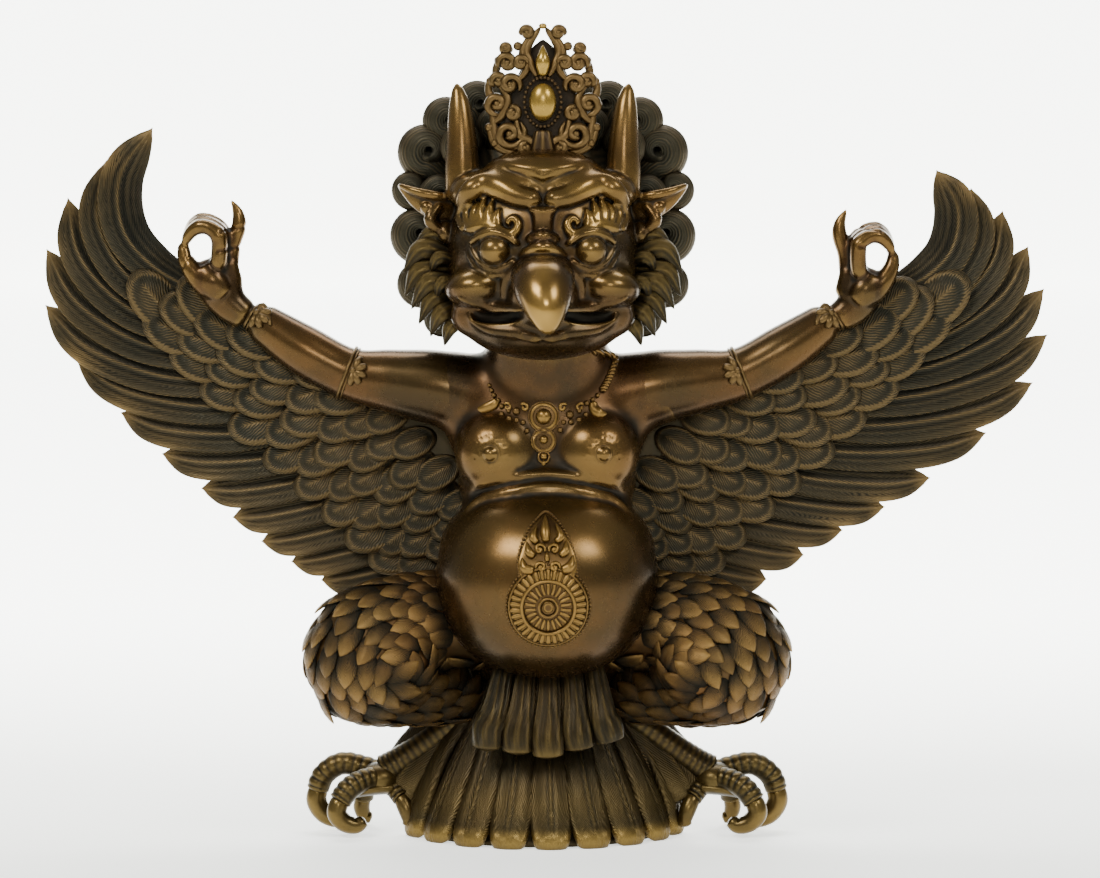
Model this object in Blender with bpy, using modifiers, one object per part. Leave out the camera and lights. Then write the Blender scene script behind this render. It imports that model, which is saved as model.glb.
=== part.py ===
# A squatting, winged guardian figure with a bird's beak, cast in bronze in one piece.
# Metres, +Z up. The figure faces -Y and stands on its tail fan and its claws, with the
# origin on the floor. The pose and the carving are shares of the statue's own height.
import math

import bmesh
import bpy
from mathutils import Matrix, Vector

statue_height = 0.360
feather_thickness = 0.0042
covert_thickness = 0.0056
tail_feather_thickness = 0.0085
bracelet_wire = 0.0022
crown_wire = 0.0036
melt_size = 0.0012
wanted_facets = 9600
flight_feathers = 13
tail_feathers = 9
wing_plane = 3.7

share = statue_height / 100
floor_sink = 0.002
head_side = -0.5
right_reach = 0.972

# Feather tips, out from the middle and up from the floor. The left wing is lifted higher.
left_tips = [(48.5, 87), (59, 78.4), (62.2, 65.2), (52.7, 51.9), (42.8, 42.5), (35.4, 35.9), (28, 31.1)]
right_tips = [(47.9, 81.8), (56.3, 76.8), (61.6, 67.2), (60.3, 55.4), (47.8, 43.4), (36.9, 37), (27.2, 31.2)]

bronze_colour = (0.105, 0.052, 0.026, 1.0)
bronze_roughness = 0.34
bronze_metallic = 1.0


def clear_scene():
    for old in list(bpy.data.objects):
        bpy.data.objects.remove(old)


def along(values, t):
    # The value at share t of a list of evenly spread values, on a smooth curve through them.
    last = len(values) - 1
    place = min(max(t, 0.0), 1.0) * last
    i = min(int(place), last - 1)
    f = place - i
    a, b = values[i], values[i + 1]
    before = values[i - 1] if i > 0 else a * 2 - b
    after = values[i + 2] if i + 2 <= last else b * 2 - a
    rise = (b - before) * f
    turn = (before * 2 - a * 5 + b * 4 - after) * f * f
    twist = (a * 3 - before - b * 3 + after) * f ** 3
    return (a * 2 + rise + turn + twist) * 0.5


def place_of(point):
    return Vector(point) * share


def mirrored(points, side):
    return [(side * x, y, z) for x, y, z in points]


def add_object(name, bm, collection):
    bmesh.ops.recalc_face_normals(bm, faces=bm.faces)
    mesh = bpy.data.meshes.new(name)
    bm.to_mesh(mesh)
    bm.free()
    shape = bpy.data.objects.new(name, mesh)
    collection.objects.link(shape)
    return shape


class Forms:
    # Collects the closed forms that are fused into the casting.
    def __init__(self, collection):
        self.collection = collection
        self.made = []

    def ball(self, centre, radii, segments=12, rings=8, lean=(0, 0, 0)):
        # An ellipsoid. lean turns it about X, Y and Z, in degrees.
        bm = bmesh.new()
        bmesh.ops.create_uvsphere(bm, u_segments=segments, v_segments=rings, radius=1)
        shape = add_object("ball", bm, self.collection)
        shape.scale = place_of(radii)
        shape.rotation_euler = [math.radians(angle) for angle in lean]
        shape.location = place_of(centre)
        self.made.append(shape)

    def sweep(self, path, widths, depths=None, front=(0, -1, 0), segments=8, rings=8, blunt=2.0):
        # A sphere stretched pole to pole along a smooth path. widths and depths are half
        # sizes, across the path and towards front. blunt rounds the ends, 1 a spindle.
        points = [place_of(point) for point in path]
        wide = [size * share for size in widths]
        deep = [size * share for size in depths] if depths else wide
        facing = Vector(front).normalized()
        bm = bmesh.new()
        bmesh.ops.create_uvsphere(bm, u_segments=segments, v_segments=rings, radius=1)
        for vertex in bm.verts:
            t = (1 - vertex.co.z) / 2
            ring = math.hypot(vertex.co.x, vertex.co.y)
            centre = along(points, t)
            ahead = along(points, min(t + 0.02, 1)) - along(points, max(t - 0.02, 0))
            across = ahead.cross(facing).normalized()
            outward = across.cross(ahead).normalized()
            full = min(1.0, ring * blunt) / max(ring, 1e-6)
            vertex.co = (
                centre
                + across * (vertex.co.x * full * along(wide, t))
                + outward * (vertex.co.y * full * along(deep, t))
            )
        self.made.append(add_object("sweep", bm, self.collection))

    def ring(self, centre, axis, radius, wire, segments=12):
        # A round wire bangle, made on a primitive torus.
        bpy.ops.mesh.primitive_torus_add(
            major_segments=segments,
            minor_segments=5,
            major_radius=radius * share,
            minor_radius=wire,
            location=place_of(centre),
        )
        shape = bpy.context.object
        shape.rotation_euler = Vector(axis).to_track_quat("Z", "Y").to_euler()
        for home in list(shape.users_collection):
            home.objects.unlink(shape)
        self.collection.objects.link(shape)
        self.made.append(shape)


def add_torso(forms):
    forms.ball((0, -4.5, 31.7), (13.8, 11.5, 12.0), 28, 18)
    forms.ball((0, -4.1, 35.4), (13.1, 10.4, 8.4), 28, 16)
    forms.ball((0, -1.2, 43), (11.2, 7.8, 5.6), 20, 12)
    forms.ball((0, 0, 50.2), (12.4, 7.2, 9.2), 24, 16)
    forms.ball((0, 1.6, 24.5), (11.2, 7.2, 8.4), 20, 12)
    neck = [(0, 1.5, 50), (0, -0.5, 56.6), (0, -2.5, 63)]
    forms.sweep(neck, [9.8, 7.9, 7.4], [6, 6.2, 6], segments=16, rings=12)
    for side in (-1, 1):
        forms.ball((side * 5.9, -4.4, 47.4), (5.5, 5.0, 5.2), 18, 12)
    for height, lift, forward, wide in ((41.4, 1.5, -12.2, 10.4), (43.6, 1.0, -10.4, 9.4)):
        fold = [(-wide, -3.4, height - 1.2), (-wide * 0.66, forward * 0.78, height),
                (0, forward * 0.9, height + lift), (wide * 0.66, forward * 0.78, height),
                (wide, -3.4, height - 1.2)]
        forms.sweep(fold, [1.2, 1.4, 1.2, 1.4, 1.2], front=(0, -0.3, 1), segments=8, rings=14)


def add_medallion(forms):
    # The wheel and the flame above it, in low relief on the belly.
    forms.ball((0, -15.0, 29.9), (5.0, 1.7, 5.0), 22, 8, (-6, 0, 0))
    forms.ball((0, -16.0, 29.8), (3.1, 1.2, 3.1), 18, 8, (-6, 0, 0))
    forms.ball((0, -16.8, 29.7), (1.0, 0.8, 1.0), 10, 6)
    flame = [(0, -14.6, 33.2), (0, -14.5, 36.6), (0, -12.4, 41.2)]
    forms.sweep(flame, [3.8, 3.6, 0.4], [1.7, 1.5, 0.8], segments=12, rings=10)


def add_necklace(forms):
    forms.ball((0, -7.0, 52.0), (1.9, 1.4, 1.9), 12, 8)
    forms.ball((0, -6.8, 48.9), (1.4, 1.2, 1.4), 10, 6)
    for side in (-1, 1):
        strand = [(1.2, -6.9, 52.6), (5, -6.0, 53.0), (8.2, -4.0, 55.6)]
        forms.sweep(mirrored(strand, side), [1.0, 0.9, 0.6], [0.9, 0.9, 0.7], segments=8, rings=8)


def add_head(forms):
    # The head sits a little to one side, so it is made in the middle and moved there.
    head = Forms(forms.collection)
    add_face(head)
    add_horns_and_ears(head)
    add_mane(head)
    add_crown(head)
    for shape in head.made:
        shape.location.x += head_side * share
    forms.made += head.made


def add_face(forms):
    # The face is the carver's, with a beak, bulging cheeks and heavy folded brows.
    forms.ball((0, -5, 71.8), (11.9, 10.6, 12.6), 28, 18)
    forms.ball((0, -8.2, 63.8), (9.9, 6.8, 4.7), 20, 12)
    forms.ball((0, -9.6, 80.6), (8.2, 5.2, 3.7), 20, 12)
    beak = [(0, -12, 69), (0, -16.6, 69.2), (0.2, -20, 67.6), (0.5, -21.8, 65), (0.7, -21.4, 62.4)]
    bridge = [(-3.6, -13.6, 71), (0, -16.2, 72), (3.6, -13.6, 71)]
    forms.sweep(beak, [3.4, 3.8, 3.6, 2.3, 0.4], [2.4, 2.8, 3.1, 2.2, 0.4], (0, -0.5, 1), 14, 14)
    forms.sweep(bridge, [1.0, 1.1, 1.0], segments=8, rings=10)
    forms.ball((0, -15.1, 73.6), (1.6, 1.5, 1.0), 10, 8)
    forms.ball((0, -14.6, 76.8), (1.8, 1.6, 1.3), 10, 8)
    for side in (-1, 1):
        add_half_face(forms, side)


def add_half_face(forms, side):
    fold = [(10, -9.6, 78.4), (7.4, -12.4, 80.2), (3.6, -14, 79.4), (0, -14.8, 78.6)]
    flame = [(3.2, -14.9, 75.4), (6.2, -14.2, 76.2), (10.4, -10.8, 77.8)]
    upper_lid = [(3.2, -14.3, 72), (5.8, -14.9, 74), (8.8, -12.6, 72.4)]
    lower_lid = [(3.4, -14.2, 71.6), (6, -14.5, 70.4), (9.4, -12, 71.8)]
    upper_lip = [(2.6, -15.3, 64.9), (6.4, -13.9, 65.2), (10, -10, 66.4)]
    lower_lip = [(0, -14.6, 62.2), (4.4, -14.1, 62.2), (8.4, -11.6, 63.1), (9.6, -9.4, 65.0)]
    forms.ball((side * 5.9, -12.8, 72.2), (1.9, 2.2, 1.7), 12, 8)
    forms.ball((side * 8, -9.8, 68), (4.1, 4.3, 2.7), 16, 10, (0, side * 8, 0))
    forms.sweep(mirrored(fold, side), [1.1, 1.5, 1.3, 1.1], segments=8, rings=12)
    forms.sweep(mirrored(flame, side), [1.3, 2.0, 1.7], [0.9, 1.0, 0.9], segments=8, rings=10)
    forms.sweep(mirrored(upper_lid, side), [0.5, 0.8, 0.5], segments=6, rings=10)
    forms.sweep(mirrored(lower_lid, side), [0.5, 0.7, 0.5], segments=6, rings=10)
    forms.sweep(mirrored(upper_lip, side), [0.8, 1.0, 0.6], segments=8, rings=10)
    forms.sweep(mirrored(lower_lip, side), [1.1, 1.1, 1.0, 0.6], segments=8, rings=12)


def add_horns_and_ears(forms):
    horn = [(9.7, -6.8, 77.4), (9.9, -6.6, 84.4), (10.1, -6.4, 88.4), (10.3, -6.2, 92)]
    ear = [(10.4, -4.6, 75.6), (13.4, -5.8, 77.4), (15.6, -5.8, 78.4), (17.9, -5.2, 80.2)]
    lobe = [(11.4, -6.0, 77.6), (13.4, -7.0, 76.0), (12.2, -6.4, 74.2)]
    for side in (-1, 1):
        forms.sweep(mirrored(horn, side), [2.3, 1.9, 1.6, 0.4], segments=12, rings=12)
        forms.sweep(mirrored(ear, side), [1.8, 2.6, 1.9, 0.2], [1.2, 1.2, 1.0, 0.2], segments=8, rings=12)
        forms.sweep(mirrored(lobe, side), [0.8, 1.1, 0.8], segments=6, rings=8)


def add_mane(forms):
    # A round mass of hair with large curls round its edge and two rows of them behind.
    forms.ball((0, 2.4, 76.8), (14.8, 8.4, 14.6), 28, 18)
    rim_curls = (
        (3.6, 90.2, 2.9),
        (7.6, 89.6, 3.2),
        (11.4, 87.6, 3.4),
        (14.0, 84.0, 3.9),
        (15.8, 79.4, 3.0),
        (15.2, 74.2, 3.9),
        (14.9, 68.3, 3.4),
        (12.4, 63.8, 2.8),
    )
    for side in (-1, 1):
        for x, z, radius in rim_curls:
            forms.ball((side * (x - 0.5), 0.8, z), (radius, 3.0, radius), 14, 8)
        for angle in (-40, 0, 40, 76):
            turn = math.radians(angle)
            centre = (side * 8.8 * math.cos(turn), 8.4, 76 + 9.2 * math.sin(turn))
            forms.ball(centre, (4.0, 2.8, 4.0), 12, 8)
        for step in range(4):
            root = (side * (9.8 - step * 0.4), -3.4, 73.2 - step * 2.9)
            middle = (side * (13.8 - step * 0.9), -5.0, 73.2 - step * 3.1)
            tip = (side * (16.4 - step * 1.1), -4.2, 70.8 - step * 3.1)
            forms.sweep([root, middle, tip], [1.6, 1.7, 0.3], [2.2, 1.6, 0.3], segments=8, rings=8)
    forms.ball((0, 9.4, 74), (4.2, 2.6, 4.2), 12, 8)


def spiral(centre, start_radius, end_radius, start_angle, sweep_angle, count, side=1):
    # Points along a flat spiral that faces the viewer.
    points = []
    for i in range(count):
        t = i / (count - 1)
        angle = math.radians(start_angle + sweep_angle * t)
        radius = start_radius + (end_radius - start_radius) * t
        x = centre[0] + radius * math.cos(angle)
        points.append((side * x, centre[1], centre[2] + radius * math.sin(angle)))
    return points


def add_crown(forms):
    # An openwork leaf of scrolls round an oval boss, backed by a thin plate.
    wire = crown_wire / 2 / share
    plate = [(0, -9.2, 81.6), (0, -9.4, 87), (0, -8.8, 92.4), (0, -8.4, 98)]
    forms.sweep(plate, [4.4, 5.6, 4.2, 1.0], [1.0, 0.9, 0.8, 0.7], segments=12, rings=12)
    forms.ball((0, -10.6, 89.8), (1.9, 1.5, 2.5), 12, 10)
    forms.ball((0, -9.9, 89.8), (2.8, 1.1, 3.3), 16, 8)
    forms.sweep([(0, -9.4, 93.6), (0, -9.6, 95.6), (0, -9.0, 97.6)], [0.9, 1.1, 0.3], segments=8, rings=8)
    forms.ball((0, -8.6, 98.5), (1.1, 0.9, 0.9), 8, 6)
    scrolls = (
        ((4.0, -9.8, 85.4), 2.4, 0.8, 200, 420),
        ((4.7, -9.6, 89.8), 2.2, 0.8, -120, 400),
        ((3.7, -9.5, 93.6), 2.1, 0.7, 250, -400),
        ((1.2, -8.9, 96.2), 1.7, 0.9, -80, 230),
    )
    for side in (-1, 1):
        for centre, start_radius, end_radius, start_angle, sweep_angle in scrolls:
            path = spiral(centre, start_radius, end_radius, start_angle, sweep_angle, 9, side)
            forms.sweep(path, [wire, wire * 0.9, wire * 0.8], segments=6, rings=22)


def add_arm(forms, side):
    arm = [(6, 0.6, 53.2), (13, 0.8, 55), (18.8, 0.8, 55.9),
           (24.4, 0.8, 56.9), (30.3, 1.0, 60), (37, 1.6, 64.4)]
    forms.sweep(mirrored(arm, side), [5.4, 4.8, 4.0, 3.2, 3.1, 2.1], segments=14, rings=20)
    forms.ring((side * 24.4, 0.8, 56.9), (side * 5.6, 0, 2.0), 3.6, bracelet_wire / 2, 20)
    forms.ring((side * 35.0, 1.4, 63.1), (side * 6, 0, 4.2), 2.7, bracelet_wire / 2, 18)
    for centre, size in (((22.8, -2.5, 58), 1.6), ((33.6, -1.3, 63.3), 1.4)):
        forms.ball((side * centre[0], centre[1], centre[2]), (size, 0.9, size * 1.1), 10, 6)


def add_hand(forms, side):
    # Fingers and thumb meet in a ring, and the little finger points up.
    palm = [(35.6, 1.6, 63.2), (38.4, 1.4, 65.5), (40.3, 1.2, 68.0), (40.6, 1.2, 71)]
    thumb = [(41.4, 1.0, 67.0), (43.5, 0.9, 69.6), (44.5, 1.1, 72.9)]
    little = [(39.0, 1.6, 69.6), (38.4, 1.6, 73.2), (37.7, 1.6, 75.6), (38.8, 1.4, 78.2)]
    forms.sweep(mirrored(palm, side), [2.0, 2.8, 3.0, 2.2], [1.9, 1.9, 1.7, 1.3], segments=12, rings=10)
    forms.sweep(mirrored(thumb, side), [1.5, 1.1, 0.7], segments=8, rings=9)
    forms.sweep(mirrored(little, side), [1.1, 0.9, 0.9, 0.2], segments=8, rings=10)
    for lean, reach in ((-0.9, 0.0), (0.7, 0.5)):
        finger = [
            (39.8, 1.2 + lean, 70.0),
            (39.8, 0.9 + lean, 73.4 + reach),
            (41.2, 0.7 + lean, 75.1 + reach),
            (43.2, 0.9 + lean * 0.7, 74.8 + reach),
            (44.5, 1.1 + lean * 0.4, 72.4),
        ]
        forms.sweep(mirrored(finger, side), [1.1, 1.0, 0.9, 0.8, 0.6], segments=8, rings=14)


def add_wing(forms, side, tips, first_bend):
    # Long feathers fan out of the arm. tips are points along the outer edge, top to bottom.
    root_line = [(42, 66.4), (36, 59.6), (28, 51.5), (20, 43.5), (13, 35)]
    thick = feather_thickness / 2 / share
    for i in range(flight_feathers):
        t = i / (flight_feathers - 1)
        root = flat_place(root_line, t)
        tip = flat_place(tips, t)
        outward = Vector((tip.y - root.y, root.x - tip.x))
        bend = 0.035 + first_bend * (1 - t) ** 2.4
        middle = (root + tip) / 2 + outward * bend
        late = root.lerp(tip, 0.78) + outward * bend * 0.72
        early = root.lerp(tip, 0.25) + outward * bend * 0.7
        layer = wing_plane + 0.16 * (i % 3)
        path = [(side * p.x, layer, p.y) for p in (root, early, middle, late, tip)]
        widths = [1.9, 2.5, 2.7, 2.3, 0.4]
        depths = [thick, thick, thick, thick, thick * 0.6]
        forms.sweep(path, widths, depths, segments=8, rings=16, blunt=2.4)
    web = [(side * x, wing_plane, z) for x, z in root_line]
    forms.sweep(web, [2.6, 5.2, 6.4, 6.0, 4.8], [1.0, 1.1, 1.1, 1.2, 1.4], segments=12, rings=16)
    flank = [(32, wing_plane, 58.6), (22, wing_plane, 53.4), (13, wing_plane, 47), (8, wing_plane, 36)]
    forms.sweep(mirrored(flank, side), [1.6, 4.4, 5.6, 4.6], [1.0, 1.2, 1.4, 1.4], segments=12, rings=12)
    add_coverts(forms, side, root_line, tips)


def flat_place(line, t):
    return along([Vector(point) for point in line], t)


def add_coverts(forms, side, root_line, tips):
    # Three rows of short round feathers hang below the arm and cover the long ones.
    thick = covert_thickness / 2 / share
    for row, count in enumerate((8, 8, 7)):
        for i in range(count):
            t = (i + 0.5 + 0.5 * (row % 2)) / (count + 0.6)
            root = flat_place(root_line, t)
            ahead = (flat_place(tips, t) - root).normalized()
            start = root + ahead * (7.6 - 3.9 * row)
            size = 2.7 - 0.8 * t
            level = wing_plane - 0.5 - 0.32 * row
            ends = [start - ahead * 3.2, start, start + ahead * 2.6]
            path = [(side * p.x, level + 0.3 * n, p.y) for n, p in enumerate(ends)]
            forms.sweep(path, [size * 0.7, size, size * 0.85], [thick] * 3, segments=8, rings=8, blunt=1.5)


def add_leg(forms, side):
    thigh = [(5, 1.6, 26), (14, -1.8, 27), (22, -6, 26.2), (30.4, -8.8, 23.4)]
    calf = [(29.4, -8.4, 21), (23, -5.4, 19), (16, -1.8, 18.2), (8.0, 1.4, 16.6)]
    shank = [(7.4, 1.2, 17.6), (14.3, 1, 11.6), (20.6, 0.9, 7.6)]
    forms.sweep(mirrored(thigh, side), [6.6, 6.4, 6.1, 5.4], segments=18, rings=18, blunt=1.5)
    forms.sweep(mirrored(calf, side), [4.2, 4.8, 4.6, 3.0], segments=16, rings=16, blunt=1.6)
    forms.sweep(mirrored(shank, side), [2.4, 1.8, 2.1], segments=10, rings=10)
    add_leg_feathers(forms, side, thigh)


def add_leg_feathers(forms, side, thigh):
    # Overlapping leaves over the outer face of the thigh.
    line = [Vector(point) for point in thigh]
    for row in range(4):
        for column in range(4):
            t = 0.3 + 0.13 * column + 0.06 * (row % 2)
            centre = along(line, t)
            radius = 6.2 - 0.9 * t * t
            angle = math.radians(-28 + 38 * row)
            face = Vector((0.2, -math.cos(angle), math.sin(angle))).normalized()
            place = centre + face * radius * 0.94
            flow = Vector((0.8, -0.3, -0.5)).normalized()
            flow = (flow - face * flow.dot(face)).normalized()
            path = [place - flow * 2.0, place + face * 0.3, place + flow * 2.2 + face * 0.2]
            front = (side * face.x, face.y, face.z)
            forms.sweep(mirrored(path, side), [1.1, 1.8, 1.0], [0.6, 0.7, 0.5], front, 8, 7, 1.5)


def add_foot(forms, side):
    forms.ball((side * 20.8, 0.8, 7.2), (2.9, 3.0, 2.2), 14, 8)
    toes = (
        ([(19.6, 1.0, 7.4), (25.4, 2.2, 8.2), (28.6, 2.6, 5.6), (28.2, 2.6, 2), (25.4, 2.4, 0.6)], 1.5),
        ([(20.2, 0.2, 7.2), (24, -2.4, 5.8), (25.9, -3, 3.4), (24.8, -2.8, 1.0), (21.9, -2.4, 1.9)], 1.5),
        ([(20.4, 1.2, 7.6), (18, -0.8, 4.6), (17.3, -1.2, 2), (17.6, -1.4, -0.2)], 1.3),
        ([(20, 1.4, 7.4), (22.2, 5.2, 6.2), (23, 6.6, 3.4), (22.2, 6.8, -0.2)], 1.4),
    )
    for path, size in toes:
        forms.sweep(mirrored(path, side), [size, size * 1.05, size, size * 0.6], segments=10, rings=14)
    web = [(19, 0.8, 6.2), (24, 0.2, 5.6), (27, 0.6, 4.4)]
    forms.sweep(mirrored(web, side), [2.2, 2.8, 1.6], [0.9, 0.9, 0.7], front=(0.4, 0, 1), segments=10, rings=8)


def add_tail(forms):
    # The fan that the figure stands on: a flared skirt, flat behind, with long feathers on it.
    middle, centre_y, wide, deep, top = -0.6, 3.4, 15.8, 14.2, 21.0
    bm = bmesh.new()
    bmesh.ops.create_cone(bm, cap_ends=True, segments=32, radius1=1, radius2=0.44, depth=1)
    for vertex in bm.verts:
        x, y, z = vertex.co
        flat = 0.22 if y > 0 else 1.0
        height = (z + 0.5) * (top * share + floor_sink) - floor_sink
        vertex.co = ((middle + x * wide) * share, (centre_y + y * deep * flat) * share, height)
    forms.made.append(add_object("skirt", bm, forms.collection))
    thick = tail_feather_thickness / 2 / share
    for i in range(tail_feathers):
        turn = math.radians(-80 + 160 * i / (tail_feathers - 1))
        across, ahead = math.sin(turn), math.cos(turn)
        foot = (middle + across * 16.1, centre_y - ahead * 14.6, -0.8)
        bend = (middle + across * 11.5, centre_y - ahead * 10.6, 10)
        root = (middle + across * 6.6, centre_y - ahead * 6.4, 21)
        forms.sweep([root, bend, foot], [1.3, 2.2, 2.8], [thick * 0.6, thick * 0.8, thick],
                    front=(across, -ahead, 0.3), segments=12, rings=10, blunt=3.0)
    for side in (-1, 1):
        # the outermost feather of the fan hangs clear of the floor, beside the shank
        outer = [(middle + side * 7, 1.6, 19), (middle + side * 13.4, 1.4, 12.6), (middle + side * 18.2, 1.0, 6.4)]
        forms.sweep(outer, [2.0, 3.2, 3.0], [1.3, 1.3, 1.2], front=(0, -1, 0.2), segments=12, rings=10, blunt=2.4)
    for i in range(5):
        lean = (i - 2) / 2
        root = (lean * 5.0, -5.4, 22)
        bend = (lean * 6.4, -8.3, 16.4)
        end = (lean * 7.8 + 0.2, -10.1 + abs(lean), 10.7 + 1.3 * abs(lean))
        forms.sweep([root, bend, end], [1.7, 2.0, 2.0], [1.0, 1.0, 1.0], segments=10, rings=10)


def fuse(forms, name, collection):
    # Melts the overlapping forms into one skin, then thins it to few, larger facets.
    joined = bmesh.new()
    for form in forms.made:
        form.data.transform(placement(form))
        joined.from_mesh(form.data)
    mesh = bpy.data.meshes.new(name)
    joined.to_mesh(mesh)
    joined.free()
    for form in list(forms.made):
        bpy.data.objects.remove(form)
    figure = bpy.data.objects.new(name, mesh)
    collection.objects.link(figure)
    melt = figure.modifiers.new("melt", "REMESH")
    melt.mode = "VOXEL"
    melt.voxel_size = melt_size
    skin = shape_of(figure)
    figure.modifiers.clear()
    figure.data = outer_skin(skin)
    thin = figure.modifiers.new("facets", "DECIMATE")
    facets = len(figure.data.polygons) * 2
    thin.ratio = wanted_facets / facets
    thin.use_collapse_triangulate = True
    figure.data = shape_of(figure)
    figure.modifiers.clear()
    print(facets, "facets thinned to", len(figure.data.polygons))
    return figure


def placement(form):
    return Matrix.LocRotScale(form.location, form.rotation_euler, form.scale)


def shape_of(figure):
    bpy.context.view_layer.update()
    graph = bpy.context.evaluated_depsgraph_get()
    return bpy.data.meshes.new_from_object(figure.evaluated_get(graph))


def outer_skin(mesh):
    # Keeps the largest connected skin and leaves out pockets closed off inside the body.
    bm = bmesh.new()
    bm.from_mesh(mesh)
    islands = []
    seen = set()
    for start in bm.faces:
        if start in seen:
            continue
        seen.add(start)
        island = [start]
        for face in island:
            for edge in face.edges:
                for neighbour in edge.link_faces:
                    if neighbour not in seen:
                        seen.add(neighbour)
                        island.append(neighbour)
        islands.append(island)
    islands.sort(key=len)
    spare = [face for island in islands[:-1] for face in island]
    print(len(islands) - 1, "closed-off pockets, faces in each:", [len(island) for island in islands[:-1]])
    bmesh.ops.delete(bm, geom=spare, context="FACES")
    bm.to_mesh(mesh)
    bm.free()
    return mesh


def centre_over_origin(figure):
    # Moves the figure until the middle of its length and depth is over the origin.
    for axis in (0, 1):
        values = [vertex.co[axis] for vertex in figure.data.vertices]
        shift = -(min(values) + max(values)) / 2
        for vertex in figure.data.vertices:
            vertex.co[axis] += shift
        print("XY"[axis], "shift", round(shift, 5))


def cut_at_floor(figure, cutters):
    width = statue_height * 3
    depth = floor_sink * 15
    bpy.ops.mesh.primitive_cube_add(size=1, location=(0, 0, -depth / 2))
    below = bpy.context.object
    below.name = "below_floor"
    below.scale = (width, width, depth)
    below.hide_render = True
    below.display_type = "WIRE"
    for home in list(below.users_collection):
        home.objects.unlink(below)
    cutters.objects.link(below)
    cut = figure.modifiers.new("floor", "BOOLEAN")
    cut.operation = "DIFFERENCE"
    cut.object = below
    cut.solver = "EXACT"


def bronze():
    material = bpy.data.materials.new("bronze")
    material.use_nodes = True
    shader = material.node_tree.nodes["Principled BSDF"]
    shader.inputs["Base Color"].default_value = bronze_colour
    shader.inputs["Roughness"].default_value = bronze_roughness
    shader.inputs["Metallic"].default_value = bronze_metallic
    material.diffuse_color = bronze_colour
    return material


def main():
    clear_scene()
    parts = bpy.data.collections.new("winged figure")
    cutters = bpy.data.collections.new("cutters")
    raw = bpy.data.collections.new("raw forms")
    for collection in (parts, cutters, raw):
        bpy.context.scene.collection.children.link(collection)
    forms = Forms(raw)
    add_torso(forms)
    add_medallion(forms)
    add_necklace(forms)
    add_head(forms)
    for side, reach in ((-1, 1.0), (1, right_reach)):
        add_arm(forms, side * reach)
        add_hand(forms, side * reach)
        add_leg(forms, side)
        add_foot(forms, side)
    add_tail(forms)
    add_wing(forms, -1, left_tips, 0.29)
    add_wing(forms, 1, right_tips, 0.27)
    print(len(forms.made), "forms")
    figure = fuse(forms, "winged_figure", parts)
    centre_over_origin(figure)
    cut_at_floor(figure, cutters)
    figure.data.materials.clear()
    figure.data.materials.append(bronze())


main()
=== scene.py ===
import math
from functools import partial

import bmesh
import bpy
import numpy as np
from mathutils import Matrix, Vector
from mathutils.bvhtree import BVHTree


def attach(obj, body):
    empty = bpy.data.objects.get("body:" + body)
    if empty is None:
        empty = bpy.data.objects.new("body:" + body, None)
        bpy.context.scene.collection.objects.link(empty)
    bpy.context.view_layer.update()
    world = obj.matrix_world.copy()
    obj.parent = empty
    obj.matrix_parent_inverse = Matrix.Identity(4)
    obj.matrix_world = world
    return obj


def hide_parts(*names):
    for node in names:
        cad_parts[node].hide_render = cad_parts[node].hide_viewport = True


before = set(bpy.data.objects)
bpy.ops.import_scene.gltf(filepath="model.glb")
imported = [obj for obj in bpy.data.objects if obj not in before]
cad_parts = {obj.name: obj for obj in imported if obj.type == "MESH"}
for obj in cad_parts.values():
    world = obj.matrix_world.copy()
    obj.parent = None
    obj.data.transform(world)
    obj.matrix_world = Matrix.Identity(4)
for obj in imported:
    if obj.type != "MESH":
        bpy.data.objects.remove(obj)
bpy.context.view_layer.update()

unit = 0.0036            # one hundredth of the statue's height, in metres
setForward = 5.936       # the box's middle lies this far in front of the spine, in units
rng = np.random.default_rng(7)


# numbers along a line

def smoothLine(points, t):
    # places at shares t of a smooth curve through the points
    p = np.asarray(points, float)
    if p.ndim == 1:
        p = p[:, None]
    padded = np.vstack([2 * p[0] - p[1], p, 2 * p[-1] - p[-2]])
    place = np.clip(t, 0, 1) * (len(p) - 1)
    i = np.minimum(place.astype(int), len(p) - 2)
    f = (place - i)[:, None]
    before, a, b, after = padded[i], padded[i + 1], padded[i + 2], padded[i + 3]
    rise = (b - before) * f
    turn = (2 * before - 5 * a + 4 * b - after) * f ** 2
    twist = (3 * a - before - 3 * b + after) * f ** 3
    return (2 * a + rise + turn + twist) / 2


def smoothValues(values, t):
    return smoothLine(values, t)[:, 0]


def flip(points, side):
    return [(side * p[0],) + tuple(p[1:]) for p in points]


def unitRows(v):
    return v / np.maximum(np.linalg.norm(v, axis=1, keepdims=True), 1e-9)


# clay: closed forms as plain arrays, in units

def bandFaces(around, rings, start=0, closed=False):
    # quads between rings of points; closed joins the last ring to the first
    faces = []
    for i in range(rings if closed else rings - 1):
        row, above = start + i * around, start + (i + 1) % rings * around
        for j in range(around):
            k = (j + 1) % around
            faces.append((row + j, row + k, above + k, above + j))
    return faces


def tubeFaces(around, rings):
    # a pole, rings of points and a second pole
    faces = []
    last = 1 + rings * around
    for j in range(around):
        k = (j + 1) % around
        faces.append((0, 1 + k, 1 + j))
        faces.append((last, last - around + j, last - around + k))
    return faces + bandFaces(around, rings, 1)


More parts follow.
